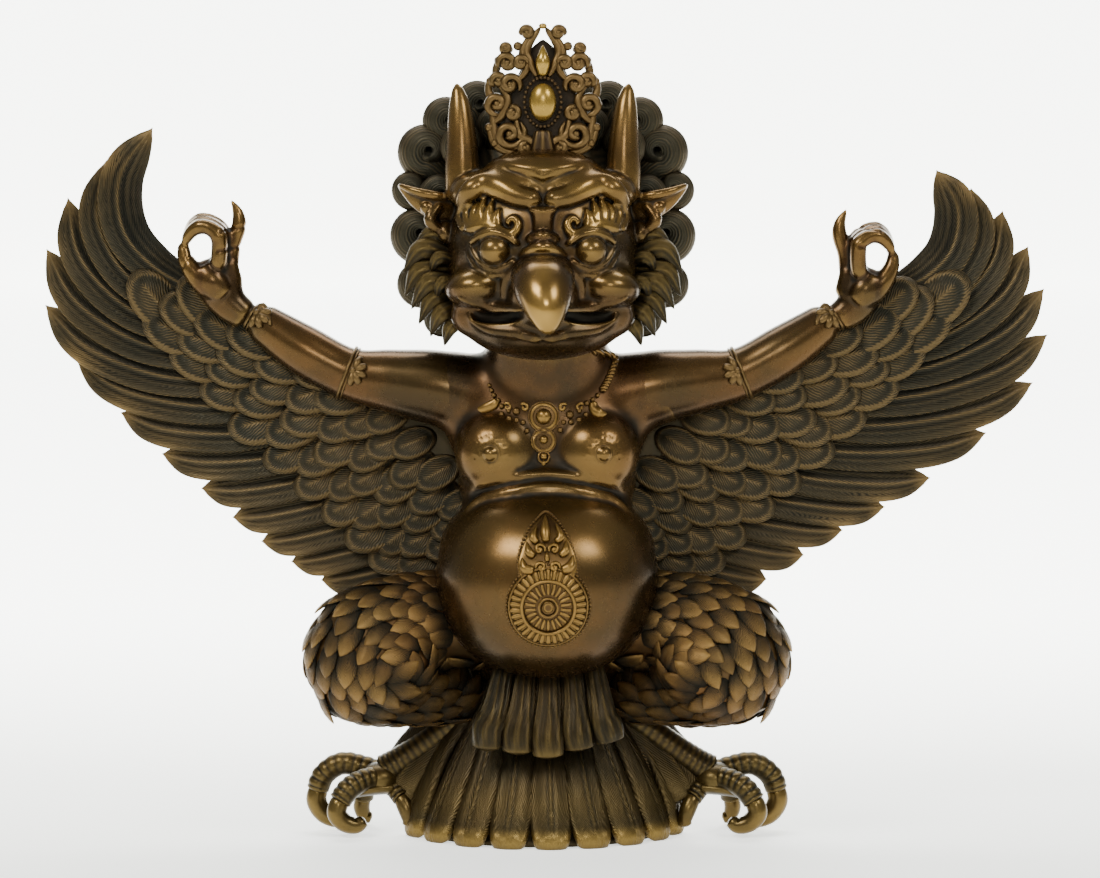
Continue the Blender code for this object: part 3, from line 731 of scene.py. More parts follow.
head = {
    "name": "head",
    "grain": 0.00058,
    "softness": 22,
    # lines of the face: points as right and up, half widths, depths, how proud, density
    "lines": {
        "brow": ([(0.2, 78.1), (2.6, 78.4), (4.9, 79.9), (6.8, 80.2), (8.8, 79.2), (10.0, 77.4)],
                 [1.15, 1.3, 1.55, 1.5, 1.2, 0.6], [0.9, 1.1, 1.3, 1.2, 0.9, 0.5], 0.35, 20, 50),
        "upperLid": ([(2.7, 72.9), (4.1, 73.9), (5.8, 74.4), (7.3, 73.9), (8.6, 72.9)],
                     [0.4, 0.55, 0.65, 0.6, 0.35], [0.6, 1.0, 1.15, 1.0, 0.5], 0.25, 14, 40),
        "lowerLid": ([(3.2, 71.3), (4.3, 70.5), (5.8, 70.1), (7.4, 71.0), (8.6, 72.7)],
                     [0.3, 0.36, 0.42, 0.4, 0.25], None, 0.15, 12, 36),
        "underLid": ([(3.4, 70.4), (4.6, 69.6), (6.2, 69.4), (8.0, 70.4), (9.2, 72.2)],
                     [0.25, 0.34, 0.4, 0.36, 0.2], None, 0.05, 12, 36),
        "upperLip": ([(2.4, 65.3), (4.3, 65.4), (6.4, 65.7), (8.4, 66.2), (10.2, 66.8)],
                     [0.45, 0.7, 0.75, 0.6, 0.35], [0.5, 0.8, 0.8, 0.6, 0.4], 0.1, 16, 40),
        "lowerLip": ([(0, 61.8), (2.8, 62.4), (4.8, 62.6), (6.6, 62.9), (8.2, 63.8), (9.0, 65.0)],
                     [0.75, 0.75, 0.7, 0.65, 0.55, 0.4], [0.5, 0.5, 0.5, 0.5, 0.45, 0.35], 0.05, 16, 50),
        "stem": ([(9.0, 74.4), (7.8, 74.9), (6.2, 75.1), (4.6, 74.3), (3.4, 74.2), (2.8, 75.2), (3.3, 76.0),
                  (4.0, 75.7), (3.8, 75.1)],
                 [0.5, 0.7, 0.8, 0.7, 0.55, 0.5, 0.42, 0.35, 0.25],
                 [0.6, 0.6, 0.6, 0.5, 0.5, 0.5, 0.5, 0.5, 0.5], 0.45, 12, 70),
    },
    # tongues of flame that rise from the eyebrow's stem
    "tongues": (
        ((8.9, 74.6), (9.6, 76.2), (9.4, 78.2)),
        ((8.2, 74.8), (8.8, 76.6), (8.5, 78.5)),
        ((7.5, 75.0), (7.9, 76.6), (7.5, 78.1)),
        ((6.8, 75.0), (7.1, 76.8), (6.7, 78.9)),
        ((6.1, 75.0), (6.2, 76.6), (5.8, 78.2)),
        ((5.4, 74.8), (5.4, 76.0), (5.0, 77.2)),
    ),
    # polished spots and painted highlights (the eyeball, the top of the cheek): right, up, their two radii,
    # how bright, and the depth they start at
    "spots": (
        (5.7, 72.3, 1.8, 1.7, 0.42, -10), (7.0, 76.4, 3.0, 2.2, 0.75, -10), (3.4, 75.2, 1.2, 1.2, 0.7, -10),
        (0.3, 65.0, 1.9, 4.2, 0.95, -17), (0.0, 69.8, 1.4, 2.0, 0.70, -15), (8.0, 68.6, 2.6, 1.5, 0.35, -9),
        (0.0, 77.6, 1.8, 0.8, 0.55, -10), (0.0, 72.4, 2.4, 0.6, 0.6, -10), (5.5, 79.6, 3.6, 1.1, 0.62, -10),
        (9.2, 69.4, 2.0, 1.0, 0.45, -7),
    ),
    "eye": (5.7, 72.3),
    "mouth": (5.4, 64.2),
}


def buildHead():
    core = [
        ballForm((0, -5, 71.6), (11.7, 10.2, 12.4), around=64, rings=40),
        ballForm((0, -8.0, 63.4), (9.7, 6.6, 4.5), around=48, rings=28),
        ballForm((0, -9.0, 81.2), (7.4, 5.0, 3.3)),
        ballForm((0, -13.2, 67.0), (4.4, 4.0, 4.4)),
    ]
    for side in (-1, 1):
        core.append(ballForm((side * 8.5, -8.0, 79.4), (2.9, 3.4, 2.3), (0, side * 24, 0)))
        core.append(ballForm((side * 5.8, -10.6, 72.2), (3.4, 3.4, 3.0)))
        core.append(ballForm((side * 8.6, -8.2, 64.4), (2.7, 3.2, 2.7)))
    base = melted("headCore", core, 0.0011, 9)
    forms = [meshForm(base)]
    for side in (-1, 1):
        forms.append(ballForm((side * 7.9, -10.6, 67.9), (3.9, 4.2, 2.5), (0, side * 10, side * 14)))
    base = remelted(base, forms, 0.0009, 8, "headBase")
    tree = surfaceOf(base)
    forms = [meshForm(base)] + hornForms() + earForms() + beakForms()
    for side in (-1, 1):
        forms += halfFaceForms(tree, side)
    piece = remelted(base, forms, head["grain"], 2, head["name"])
    softenFace(piece)
    carveFace(piece)
    coat(piece, skinBronze, 12, 0.0005, headPolishAndHighlight(toUnits(readCoords(piece))))
    return piece


def hornForms():
    horn = [(9.5, -6.8, 77.6), (9.7, -6.9, 81.4), (9.75, -6.8, 85.0), (10.0, -6.4, 89.4), (10.4, -6.2, 92.3)]
    widths = [2.2, 2.1, 1.85, 1.35, 0.42]
    return [sweepForm(flip(horn, side), widths, around=32, rings=50) for side in (-1, 1)]


def earForms():
    forms = []
    shell = [(10.2, -4.6, 76.2), (12.8, -6.0, 77.4), (15.0, -6.2, 78.3), (17.6, -5.6, 80.1)]
    rim = [(11.4, -6.4, 78.5), (13.4, -7.2, 78.8), (15.5, -7.0, 79.3), (17.5, -5.9, 80.1)]
    lobe = [(12.2, -6.4, 77.9), (13.6, -7.2, 75.9), (12.4, -6.8, 74.6), (11.2, -5.8, 74.2)]
    bead = [(11.6, -6.2, 75.4), (11.8, -6.9, 74.2), (11.4, -6.5, 73.2)]
    for side in (-1, 1):
        forms += [
            sweepForm(flip(shell, side), [1.7, 1.8, 1.25, 0.25], [1.1, 1.0, 0.8, 0.25], around=24, rings=30),
            sweepForm(flip(rim, side), [0.5, 0.6, 0.5, 0.25], around=12, rings=24),
            sweepForm(flip(lobe, side), [0.6, 0.8, 0.7, 0.5], around=14, rings=22),
            sweepForm(flip(bead, side), [0.7, 0.9, 0.7], around=14, rings=16),
            ballForm((side * 14.0, -6.9, 77.3), (0.8, 0.7, 0.8), around=14, rings=10),
        ]
    return forms


def beakForms():
    beak = [(0, -11, 68.9), (0, -15.6, 69.1), (0.1, -18.9, 68.3), (0.4, -21.0, 66.0), (0.6, -21.7, 63.9),
            (0.7, -21.3, 62.5)]
    crest = [(0, -15.4, 71.4), (0, -18.2, 70.6), (0.2, -20.8, 68.6), (0.4, -22.3, 66.0)]
    hood = [(4.6, -12.8, 66.0), (3.9, -14.0, 69.2)]
    hood = flip(hood, -1) + [(0, -16.2, 71.3)] + hood[::-1]
    bridge = [(3.3, -13.9, 71.0), (1.8, -15.2, 72.0)]
    bridge = flip(bridge, -1) + [(0, -16.4, 72.7)] + bridge[::-1]
    root = [(0, -14.4, 74.4), (0, -14.6, 76.2), (0, -14.8, 77.4)]
    return [
        sweepForm(beak, [3.3, 3.7, 3.7, 2.9, 1.7, 0.35], [2.4, 2.8, 3.0, 2.6, 1.6, 0.3], (0, -0.5, 1),
                  40, 60),
        sweepForm(crest, [0.5, 0.9, 0.8, 0.4], [0.3, 0.5, 0.5, 0.3], (0, -1, 0.6), 14, 30),
        sweepForm(hood, [0.6, 0.9, 0.9, 0.9, 0.6], [0.7, 0.9, 1.0, 0.9, 0.7], around=16, rings=50),
        sweepForm(bridge, [0.35, 0.7, 0.9, 0.7, 0.35], around=16, rings=36),
        ballForm((0, -15.6, 74.0), (1.15, 1.2, 0.75), around=20, rings=12),
        ballForm((0, -14.9, 73.6), (2.0, 1.4, 1.0), around=24, rings=14),
        sweepForm(root, [1.3, 1.2, 1.9], [1.2, 1.1, 1.3], around=24, rings=20),
    ]


def grooved(t, a):
    return 0.07 * np.cos(7 * a) + 0 * t


def halfFaceForms(tree, side):
    ex, ez = head["eye"]
    forms = [ballForm(onFront(tree, side * ex, ez, -0.1), (1.95, 1.75, 1.85), around=28, rings=18)]
    for points, widths, depths, proud, around, rings in head["lines"].values():
        path = drapedPath(tree, flip(points, side), proud)
        forms.append(sweepForm(path, widths, depths, around=around, rings=rings))
    for points in head["tongues"]:
        path = drapedPath(tree, flip(points, side), 0.35)
        forms.append(sweepForm(path, [0.75, 0.62, 0.12], [0.55, 0.6, 0.2],
                               around=28, rings=30, ripple=grooved))
    return forms


def softenFace(piece):
    # the forehead and the lips are smoother than the eyes, beak and ears
    for _ in range(head["softness"]):
        coords = readCoords(piece)
        here = toUnits(coords)
        x, y, z = np.abs(here[:, 0]), here[:, 1], here[:, 2]
        forehead = np.clip((z - 78.9) * 1.2, 0, 1) * np.clip((8.0 - x) * 1.5, 0, 1) * (y < -5)
        lips = np.clip((66.9 - z) * 1.2, 0, 1) * np.clip((x - 2.6) * 1.5, 0, 1) * (y < -4)
        keepShare = np.clip(forehead + lips, 0, 1)[:, None]
        relax(piece, 1)
        writeCoords(piece, coords * (1 - keepShare) + readCoords(piece) * keepShare)


def carveFace(piece):
    coords, normals = toUnits(readCoords(piece)), readNormals(piece)
    x, z = np.abs(coords[:, 0]), coords[:, 2]
    front = np.clip(-normals[:, 1] * 2.2, 0, 1) * (coords[:, 1] < -6)
    lift = np.zeros(len(coords))
    mx, mz = head["mouth"]
    bend = mz + 0.06 * (x - mx) ** 2 * 0.5
    opening = np.exp(-(((x - mx) / 2.6) ** 4) - ((z - bend) / 0.5) ** 4)
    behindBeak = coords[:, 1] > -17.5
    lift -= 1.1 * opening * front * behindBeak
    # shallow furrows on the forehead above the brow, and at the nose root
    for height, amount, spread in ((81.4, 0.07, 5.0), (82.6, 0.05, 4.0)):
        furrow = height + 0.08 * x
        lift -= amount * np.exp(-((z - furrow) / 0.35) ** 2 - (x / spread) ** 4) * front
    # dip between the two halves of the V above the brow
    valley = 80.1 + 0.42 * x
    lift -= 0.42 * np.exp(-((z - valley) / 0.6) ** 2 - ((x - 2.2) / 3.0) ** 4) * front
    writeCoords(piece, toWorld(coords + normals * lift[:, None]))


def headPolishAndHighlight(coords):
    x, y, z = np.abs(coords[:, 0]), coords[:, 1], coords[:, 2]
    upper = np.where(y < -6, 0.30 * np.exp(-((z - 80.5) / 4.0) ** 2), 0)
    horn = np.where((z > 82) & (x > 7) & (x < 13) & (y < -3), 0.16 + 0.035 * np.clip(z - 84, 0, 8), 0)
    ear = np.where((x > 14) & (z > 76), 0.22, 0)
    polishAndHighlight = np.maximum.reduce([np.full(len(coords), 0.03), upper, horn, ear])
    # polished spots, with painted highlights on the eyeballs and the tops of the cheeks
    for sx, sz, rx, rz, amount, reach in head["spots"]:
        value = amount * np.exp(-((x - sx) / rx) ** 2 - ((z - sz) / rz) ** 2)
        polishAndHighlight = np.maximum(polishAndHighlight, np.where(y < reach, value, 0))
    return polishAndHighlight


# mane: locks that roll up into curls round the head

mane = {
    "name": "mane",
    "core": [((0, 2.6, 76.8), (14.0, 7.8, 13.9))],
    # rim curls: out, up, radius, start angle, turn
    "rim": [
        (3.6, 90.6, 2.9, -60, 400),
        (7.6, 90.0, 3.1, -70, 420),
        (11.4, 88.0, 3.3, -90, 420),
        (13.9, 84.2, 3.9, -100, 440),
        (15.9, 79.6, 2.7, -120, 420),
        (15.0, 74.2, 3.9, -130, 440),
        (14.9, 68.3, 3.3, -150, 420),
        (12.4, 64.0, 2.6, -160, 400),
    ],
    "inner": [(9.2, 84.8, 3.2, -80, 400), (12.2, 79.0, 3.0, -110, 400), (5.4, 87.2, 2.6, -60, 380)],
}


def combed(t, a):
    return 0.045 * np.cos(26 * a) * np.clip(1.15 - t, 0.3, 1)


def curlForms(x, z, y, radius, startAngle, turn, side, facing=-1, rings=76):
    # one lock: it comes from the middle of the head, swells and rolls up into a small knob
    root = np.array([x * 0.50, y - facing * 1.6, 75.5 + (z - 75.5) * 0.50])
    lift = -facing * radius * 0.42
    loop = spiralPath((x, y, z), radius * 0.52, radius * 0.10, startAngle, turn, 12, lift)
    lead = root + (loop[0] - root) * np.array([[0.0], [0.5]])
    lead[1] += np.array([-(loop[0] - root)[2], 0, (loop[0] - root)[0]]) * -0.16
    path = np.vstack([lead, loop])
    path[:, 0] *= side
    share = np.linspace(0, 1, len(path))
    widths = np.interp(share, [0, 0.16, 0.35, 0.65, 0.85, 1], [0.40, 0.56, 0.60, 0.40, 0.24, 0.17]) * radius
    depths = np.interp(share, [0, 0.16, 0.5, 1], [0.40, 0.46, 0.42, 0.34]) * radius
    return sweepForm(path, list(widths), list(depths), (0, facing, 0), 104, rings, 2.0, combed)


def combedBall(centre, radii, strands, lean):
    # a ball with fine combed lines over it
    verts, faces, uv = ballForm(centre, radii, around=160, rings=90)
    offset = (verts - np.asarray(centre)) / np.asarray(radii)
    angle = np.arctan2(offset[:, 2], offset[:, 0])
    out = np.hypot(offset[:, 0], offset[:, 2])
    wave = np.cos(strands * (angle + lean * out))
    verts = verts + offset * (0.08 * wave * np.clip(out * 1.6, 0, 1))[:, None]
    return verts, faces, np.zeros_like(uv)


def buildMane():
    forms = [combedBall(centre, radii, 52, 0.9) for centre, radii in mane["core"]]
    for side in (-1, 1):
        for i, (x, z, radius, start, turn) in enumerate(mane["rim"]):
            forms.append(curlForms(x, z, 0.2 + 0.5 * (i % 2), radius, start, turn, side))
        for x, z, radius, start, turn in mane["inner"]:
            forms.append(curlForms(x, z, -2.4, radius, start, turn, side, rings=80))
    return shadeHair(makePiece(mane["name"], forms), hairBronze)


def shadeHair(piece, material):
    coords = toUnits(readCoords(piece))
    out = np.hypot(coords[:, 0], coords[:, 2] - 76) / 18
    coat(piece, material, 5, 0.00032, np.clip(out - 0.8, 0, 1) * 0.35)
    return piece


maneBack = {
    "name": "maneBack",
    "curls": [
        (0, 76.5, 3.9), (6.9, 79.6, 3.8), (6.6, 72.0, 3.8), (0, 84.4, 3.6), (0, 68.4, 3.6),
        (11.8, 75.6, 3.4), (10.4, 83.4, 3.5), (10.2, 67.6, 3.2), (5.4, 87.4, 3.0), (5.6, 64.8, 2.9),
    ],
}


def buildManeBack():
    forms = []
    for x, z, radius in maneBack["curls"]:
        for side in ((-1, 1) if x else (1,)):
            reach = 1 - (x / 15.5) ** 2 - ((z - 76.8) / 15.5) ** 2
            y = 2.6 + 6.4 * math.sqrt(max(reach, 0.05))
            forms.append(curlForms(x, z, y, radius, 60 + 17 * x, 400, side, facing=1, rings=90))
    return shadeHair(makePiece(maneBack["name"], forms), hairBronze)


# side feathers beside the cheeks

whiskers = {
    "name": "whiskers",
    # feathers beside the jaw: root, middle, tip, half width, and how far forward they lie
    "rows": [
        ((10.8, 73.0), (13.4, 74.0), (15.6, 72.4), 1.15, 0.0),
        ((11.2, 71.6), (14.6, 72.3), (16.9, 69.4), 1.25, 0.7),
        ((11.2, 69.8), (14.8, 69.6), (16.7, 66.6), 1.25, 0.3),
        ((11.0, 68.6), (13.9, 68.2), (15.9, 65.0), 1.20, 1.0),
        ((11.0, 66.8), (13.4, 66.2), (15.0, 63.2), 1.15, 0.4),
        ((10.6, 65.4), (12.4, 64.4), (13.6, 61.7), 1.05, 1.1),
        ((9.8, 63.6), (11.2, 62.8), (11.9, 60.6), 0.95, 0.5),
        ((10.6, 71.0), (12.6, 71.2), (13.6, 69.0), 0.85, 1.6),
        ((10.6, 68.4), (12.2, 68.2), (12.9, 66.0), 0.80, 1.8),
    ],
}


def whiskerVane(t, a):
    across = np.abs(np.cos(a))
    return 0.10 * np.exp(-(across / 0.14) ** 2) - 0.05 * np.exp(-((across - 0.4) / 0.14) ** 2)


def buildWhiskers():
    forms = []
    for side in (-1, 1):
        for root, middle, tip, size, forward in whiskers["rows"]:
            path = [(side * root[0], -5.0 - forward, root[1]), (side * middle[0], -6.4 - forward, middle[1]),
                    (side * tip[0], -5.4 - forward * 0.6, tip[1])]
            forms.append(sweepForm(path, [size * 0.75, size, 0.10], [1.1, 0.75, 0.2], (side * 0.15, -1, 0.1),
                                   40, 34, 2.4, whiskerVane))
    return shadeHair(makePiece(whiskers["name"], forms), whiskerBronze)


# crown: openwork scrolls round an oval boss

crown = {
    "name": "crown",
    "wire": 0.50,
    # centre out, up, start radius, end radius, start angle, turn
    "scrolls": [
        (4.0, 86.1, 2.05, 0.25, 130, 560),
        (5.5, 89.7, 1.45, 0.2, -110, 470),
        (3.6, 88.6, 0.85, 0.2, 60, 430),
        (3.9, 92.0, 1.35, 0.2, 220, -470),
        (5.3, 92.5, 0.95, 0.2, -60, 430),
        (4.3, 94.6, 1.20, 0.2, -40, 480),
        (2.6, 94.6, 0.85, 0.2, 200, -430),
        (4.4, 96.3, 0.50, 0.15, -60, 400),
        (1.9, 98.2, 0.72, 0.18, -30, 430),
        (2.1, 84.4, 0.70, 0.15, 120, -400),
    ],
    "stems": [
        [(1.2, 83.4), (3.2, 83.6), (5.6, 84.8), (6.6, 87.0)],
        [(2.6, 84.4), (4.8, 84.6), (5.8, 86.6), (6.1, 90.0)],
        [(6.4, 87.2), (5.0, 88.2), (4.2, 90.2), (5.4, 92.4)],
        [(5.4, 91.6), (5.6, 93.8), (4.6, 95.6), (3.6, 96.4)],
        [(3.2, 92.2), (2.0, 93.8), (2.4, 96.0), (1.0, 98.6)],
        [(0.6, 92.8), (1.4, 94.4), (1.9, 96.2), (0.3, 98.9)],
        [(0.4, 83.6), (1.4, 85.2), (2.8, 86.0), (3.2, 88.0)],
        [(4.4, 90.6), (6.0, 90.2), (6.5, 91.6), (6.1, 93.2)],
    ],
    "knobs": [(6.6, 89.6), (6.4, 86.9), (6.3, 92.4), (5.3, 94.9), (3.0, 96.6), (5.7, 85.0)],
}


def crownLevel(x, z):
    # how far back the openwork stands
    return -9.5 + 0.09 * max(z - 86, 0) + 0.028 * x * x


def crownPath(points, proud, side=1):
    return [(side * x, crownLevel(x, z) - proud, z) for x, z in points]


def fluted(t, a):
    return 0.08 * np.cos(8 * a) + 0 * t


def crownHalf(side):
    w = crown["wire"]
    forms = []
    for x, z, r0, r1, start, turn in crown["scrolls"]:
        path = spiralPath((x, crownLevel(x, z) - 0.15, z), r0, r1, start, turn, 14, lift=0.35)
        path[:, 0] *= side
        forms.append(sweepForm(path, [w * 0.7, w, w, w * 0.9, w * 0.8], [w * 1.1] * 5, around=12, rings=60))
        eye = (side * x, crownLevel(x, z) - 0.55, z)
        forms.append(ballForm(eye, (0.42, 0.42, 0.42), around=14, rings=10))
    for place in crownPath(crown["knobs"], 0.2, side):
        forms.append(ballForm(place, (0.55, 0.5, 0.55), around=16, rings=11))
    for stem in crown["stems"]:
        path = crownPath(stem, 0.05, side)
        forms.append(sweepForm(path, [w * 0.5, w, w, w * 0.6], [w * 0.9] * 4, around=12, rings=30))
    return forms


def buildCrown():
    plate = [(0, crownLevel(0, z) + 0.75, z) for z in (82.6, 86.0, 90.0, 94.0, 97.4)]
    plate = sweepForm(plate, [3.0, 4.6, 4.2, 2.6, 0.8], [0.35] * 5, around=30, rings=40)
    backing = makePiece("crownPlate", [plate])
    store(backing, "relief", -0.4)
    store(backing, "polishAndHighlight", 0.0)
    backing.data.materials.append(crownBronze)
    foot = [(0, crownLevel(0, 83) - 0.1, 82.8), (0, crownLevel(0, 85) - 0.3, 85.2),
            (0, crownLevel(0, 86) - 0.2, 86.6)]
    foot = sweepForm(foot, [1.9, 1.3, 0.9], [0.8, 0.8, 0.6], around=40, rings=20, ripple=fluted)
    rest = makePiece(crown["name"], crownHalf(-1) + crownHalf(1) + [foot])
    coat(rest, crownBronze, 5, 0.0004)
    drop = [(0, -9.3, 93.0), (0, -9.6, 94.8), (0, -9.3, 96.7)]
    gem = makePiece("crownGem", [
        ballForm((0, crownLevel(0, 90) - 0.55, 89.9), (1.62, 1.25, 2.28), around=40, rings=28),
        sweepForm(drop, [0.5, 0.85, 0.1], [0.5, 0.8, 0.2], around=24, rings=26),
        ballForm((0, -8.9, 99.0), (0.5, 0.5, 0.35), around=14, rings=8),
    ])
    coat(gem, gemBronze, 5, 0.0004)
    oval = ovalPoints((0, crownLevel(0, 90) - 0.3, 89.9), 2.2, 2.95, 30)
    ring = beadLine("crownBeads", oval, 0.24, crownBronze)
    return joined(crown["name"], [rest, backing, gem, ring])


def ovalPoints(centre, rx, rz, count):
    a = np.linspace(0, 2 * np.pi, count, endpoint=False)
    return np.asarray(centre) + np.stack([rx * np.cos(a), 0 * a, rz * np.sin(a)], axis=1)


# Geometry Nodes: one small shape set on many points

def makeScatter():
    # sets a shape on the points of a mesh, turned and sized by the points' own values
    group = bpy.data.node_groups.new("scatterShape", "GeometryNodeTree")
    face = group.interface
    face.new_socket("Points", in_out="INPUT", socket_type="NodeSocketGeometry")
    face.new_socket("Shape", in_out="INPUT", socket_type="NodeSocketObject")
    face.new_socket("Material", in_out="INPUT", socket_type="NodeSocketMaterial")
    size = face.new_socket("Size", in_out="INPUT", socket_type="NodeSocketFloat")
    size.default_value = 1.0
    face.new_socket("Geometry", in_out="OUTPUT", socket_type="NodeSocketGeometry")
    given, result = group.nodes.new("NodeGroupInput"), group.nodes.new("NodeGroupOutput")
    shape = node(group, "GeometryNodeObjectInfo")
    points = node(group, "GeometryNodeMeshToPoints")
    turn = node(group, "GeometryNodeInputNamedAttribute", data_type="FLOAT_VECTOR")
    turn.inputs["Name"].default_value = "turn"
    grow = node(group, "GeometryNodeInputNamedAttribute", data_type="FLOAT")
    grow.inputs["Name"].default_value = "grow"
    scale = mathNode(group, "MULTIPLY", grow.outputs[0], given.outputs["Size"])
    spread = node(group, "GeometryNodeInstanceOnPoints")
    real = node(group, "GeometryNodeRealizeInstances")
    coat = node(group, "GeometryNodeSetMaterial")
    link = group.links.new
    link(given.outputs["Shape"], shape.inputs["Object"])
    link(given.outputs["Points"], points.inputs["Mesh"])
    link(points.outputs[0], spread.inputs["Points"])
    link(shape.outputs["Geometry"], spread.inputs["Instance"])
    link(turn.outputs[0], spread.inputs["Rotation"])
    link(scale, spread.inputs["Scale"])
    link(spread.outputs[0], real.inputs[0])
    link(real.outputs[0], coat.inputs["Geometry"])
    link(given.outputs["Material"], coat.inputs["Material"])
    link(coat.outputs[0], result.inputs[0])
    return group


scatterShape = makeScatter()


def scattered(name, shape, places, turns, sizes, size, material):
    # places in units; turns are Euler angles; the shape is removed afterwards
    mesh = bpy.data.meshes.new(name)
    mesh.from_pydata(toWorld(places), [], [])
    turning = mesh.attributes.new("turn", "FLOAT_VECTOR", "POINT")
    turning.data.foreach_set("vector", np.asarray(turns, np.float32).ravel())
    piece = bpy.data.objects.new(name, mesh)
    store(piece, "grow", sizes)
    bpy.context.scene.collection.objects.link(piece)
    modifier = piece.modifiers.new("scatter", "NODES")
    modifier.node_group = scatterShape
    values = {"Shape": shape, "Material": material, "Size": size}
    for item in scatterShape.interface.items_tree:
        if item.item_type == "SOCKET" and item.name in values:
            modifier[item.identifier] = values[item.name]
    applied(piece)
    bpy.data.objects.remove(shape)
    return piece


def beadLine(name, points, sizes, material, around=10, rings=6, polishAndHighlight=0.1):
    # small balls of the given radii at the given points
    bead = makePiece("bead", [ballForm((0, -setForward, 0), (1, 1, 1), around=around, rings=rings)])
    store(bead, "relief", 0.35)
    store(bead, "polishAndHighlight", polishAndHighlight)
    return scattered(name, bead, points, np.zeros((len(points), 3)), sizes, 1.0, material)


# wings: long flight feathers under rows of short round ones

wings = {
    "plane": 3.7,
    "roots": [(42, 66.4), (36, 59.6), (28, 51.5), (20, 43.5), (13, 35)],
    "leftTips": [(48.5, 87), (59, 78.4), (61.9, 65.2), (52.7, 51.9), (42.8, 42.5), (35.4, 35.9), (28, 31.1)],
    "rightTips": [(47.9, 81.8), (56.1, 76.8), (61.3, 67.2), (60.0, 55.6), (47.4, 43.8), (36.6, 37.3),
                  (27.2, 31.2)],
    "leftBend": 0.29,
    "rightBend": 0.27,
    "count": 13,
    "thick": 0.5,
    "tilt": 0.34,            # each feather's lower edge stands over the next one's upper edge
    "widths": [1.5, 2.1, 2.5, 2.7, 2.8, 2.8, 2.65, 2.0, 0.14],
    # rows of short feathers: how many, half width, distance out from the root line, stretch of it
    "rows": [(10, 2.8, 6.9, 0, 1), (10, 2.7, 4.0, 0, 1), (9, 2.7, 1.1, 0, 1), (8, 2.6, -1.9, 0.12, 1),
             (7, 2.5, -4.8, 0.36, 1), (4, 2.4, -7.6, 0.52, 0.92)],
    "backRows": [(10, 2.6, 5.6, 0, 1), (9, 2.5, 2.0, 0, 1)],
}


def flatPlace(line, t):
    return smoothLine(line, np.array([t]))[0]


def vane(t, a):
    # a shaft above the middle, three furrows beside it and a raised lower edge
    across = np.cos(a)
    shape = 0.16 * np.exp(-((across - 0.12) / 0.09) ** 2)
    for place, depth in ((0.36, 0.08), (-0.16, 0.09), (-0.46, 0.10), (0.64, 0.06), (-0.70, 0.07)):
        shape = shape - depth * np.exp(-((across - place) / 0.075) ** 2)
    return shape * np.clip((0.985 - t) * 9, 0, 1) * np.clip(t * 8, 0, 1)


def flightForms(side, tips, bendAmount):
    forms = []
    for i in range(wings["count"]):
        t = i / (wings["count"] - 1)
        root, tip = flatPlace(wings["roots"], t), flatPlace(tips, t)
        outward = np.array([tip[1] - root[1], root[0] - tip[0]])
        bend = 0.035 + bendAmount * (1 - t) ** 2.4
        middle = (root + tip) / 2 + outward * bend
        late = root + (tip - root) * 0.78 + outward * bend * 0.78
        early = root + (tip - root) * 0.25 + outward * bend * 0.70
        path = [(side * p[0], wings["plane"] + 0.1, p[1]) for p in (root, early, middle, late, tip)]
        ahead = (tip - root) / np.linalg.norm(tip - root)
        facing = (-side * wings["tilt"] * ahead[1], -1, wings["tilt"] * ahead[0])
        widths = [w * (1.02 - 0.12 * t) for w in wings["widths"]]
        depths = [wings["thick"] * share for share in (1, 1, 1, 0.95, 0.9, 0.85, 0.75, 0.55, 0.24)]
        forms.append(sweepForm(path, widths, depths, facing, 92, 44, 2.6, vane if side > 0 else mirroredVane))
    return forms


def mirroredVane(t, a):
    return vane(t, np.pi - a)


def roundVane(t, a):
    # a raised rim round the end and combed lines that run out to it
    across = np.cos(a)
    reach = 2 * np.sqrt(np.clip(t * (1 - t), 0, 1))
    r = np.sqrt((2 * t - 1) ** 2 + (across * reach) ** 2)
    rim = 0.17 * np.exp(-((r - 0.84) / 0.075) ** 2) - 0.05 * np.exp(-((r - 0.68) / 0.07) ** 2)
    shaft = 0.08 * np.exp(-(across / 0.10) ** 2) * np.clip((0.66 - r) * 6, 0, 1)
    return rim + shaft


def covertForms(side, tips, rows, face, startLevel):
    forms = []
    for row, (count, size, offset, start, stop) in enumerate(rows):
        for i in range(count):
            t = start + (stop - start) * (i + 0.30 + 0.5 * (row % 2)) / (count - 0.2)
            root = flatPlace(wings["roots"], t)
            run = flatPlace(wings["roots"], min(t + 0.03, 1)) - flatPlace(wings["roots"], max(t - 0.03, 0))
            outward = np.array([-run[1], run[0]]) / np.linalg.norm(run)
            ahead = flatPlace(tips, min(t + 0.10, 1)) - root
            ahead /= np.linalg.norm(ahead)
            shift = (ahead + outward) / np.linalg.norm(ahead + outward)
            place = root + shift * offset * (0.68 + 0.32 * (1 - t))
            w = size * (1.06 - 0.22 * t) * (0.92 + 0.16 * rng.random())
            long = w * 1.5
            stray = math.radians(rng.uniform(-9, 9))
            c, s = math.cos(stray), math.sin(stray)
            ahead = np.array([ahead[0] * c - ahead[1] * s, ahead[0] * s + ahead[1] * c])
            level = startLevel + face * 0.26 * row
            line = ((place - ahead * long, -1.0), (place, -0.08), (place + ahead * long, 0.34))
            path = [(side * p[0], level + face * lift, p[1]) for p, lift in line]
            facing = (side * 0.25 * ahead[1] * face, face, 0.25 * ahead[0])
            forms.append(sweepForm(path, [w, w, w], [0.50, 0.54, 0.48], facing, 40, 24, 1.0, roundVane))
    return forms


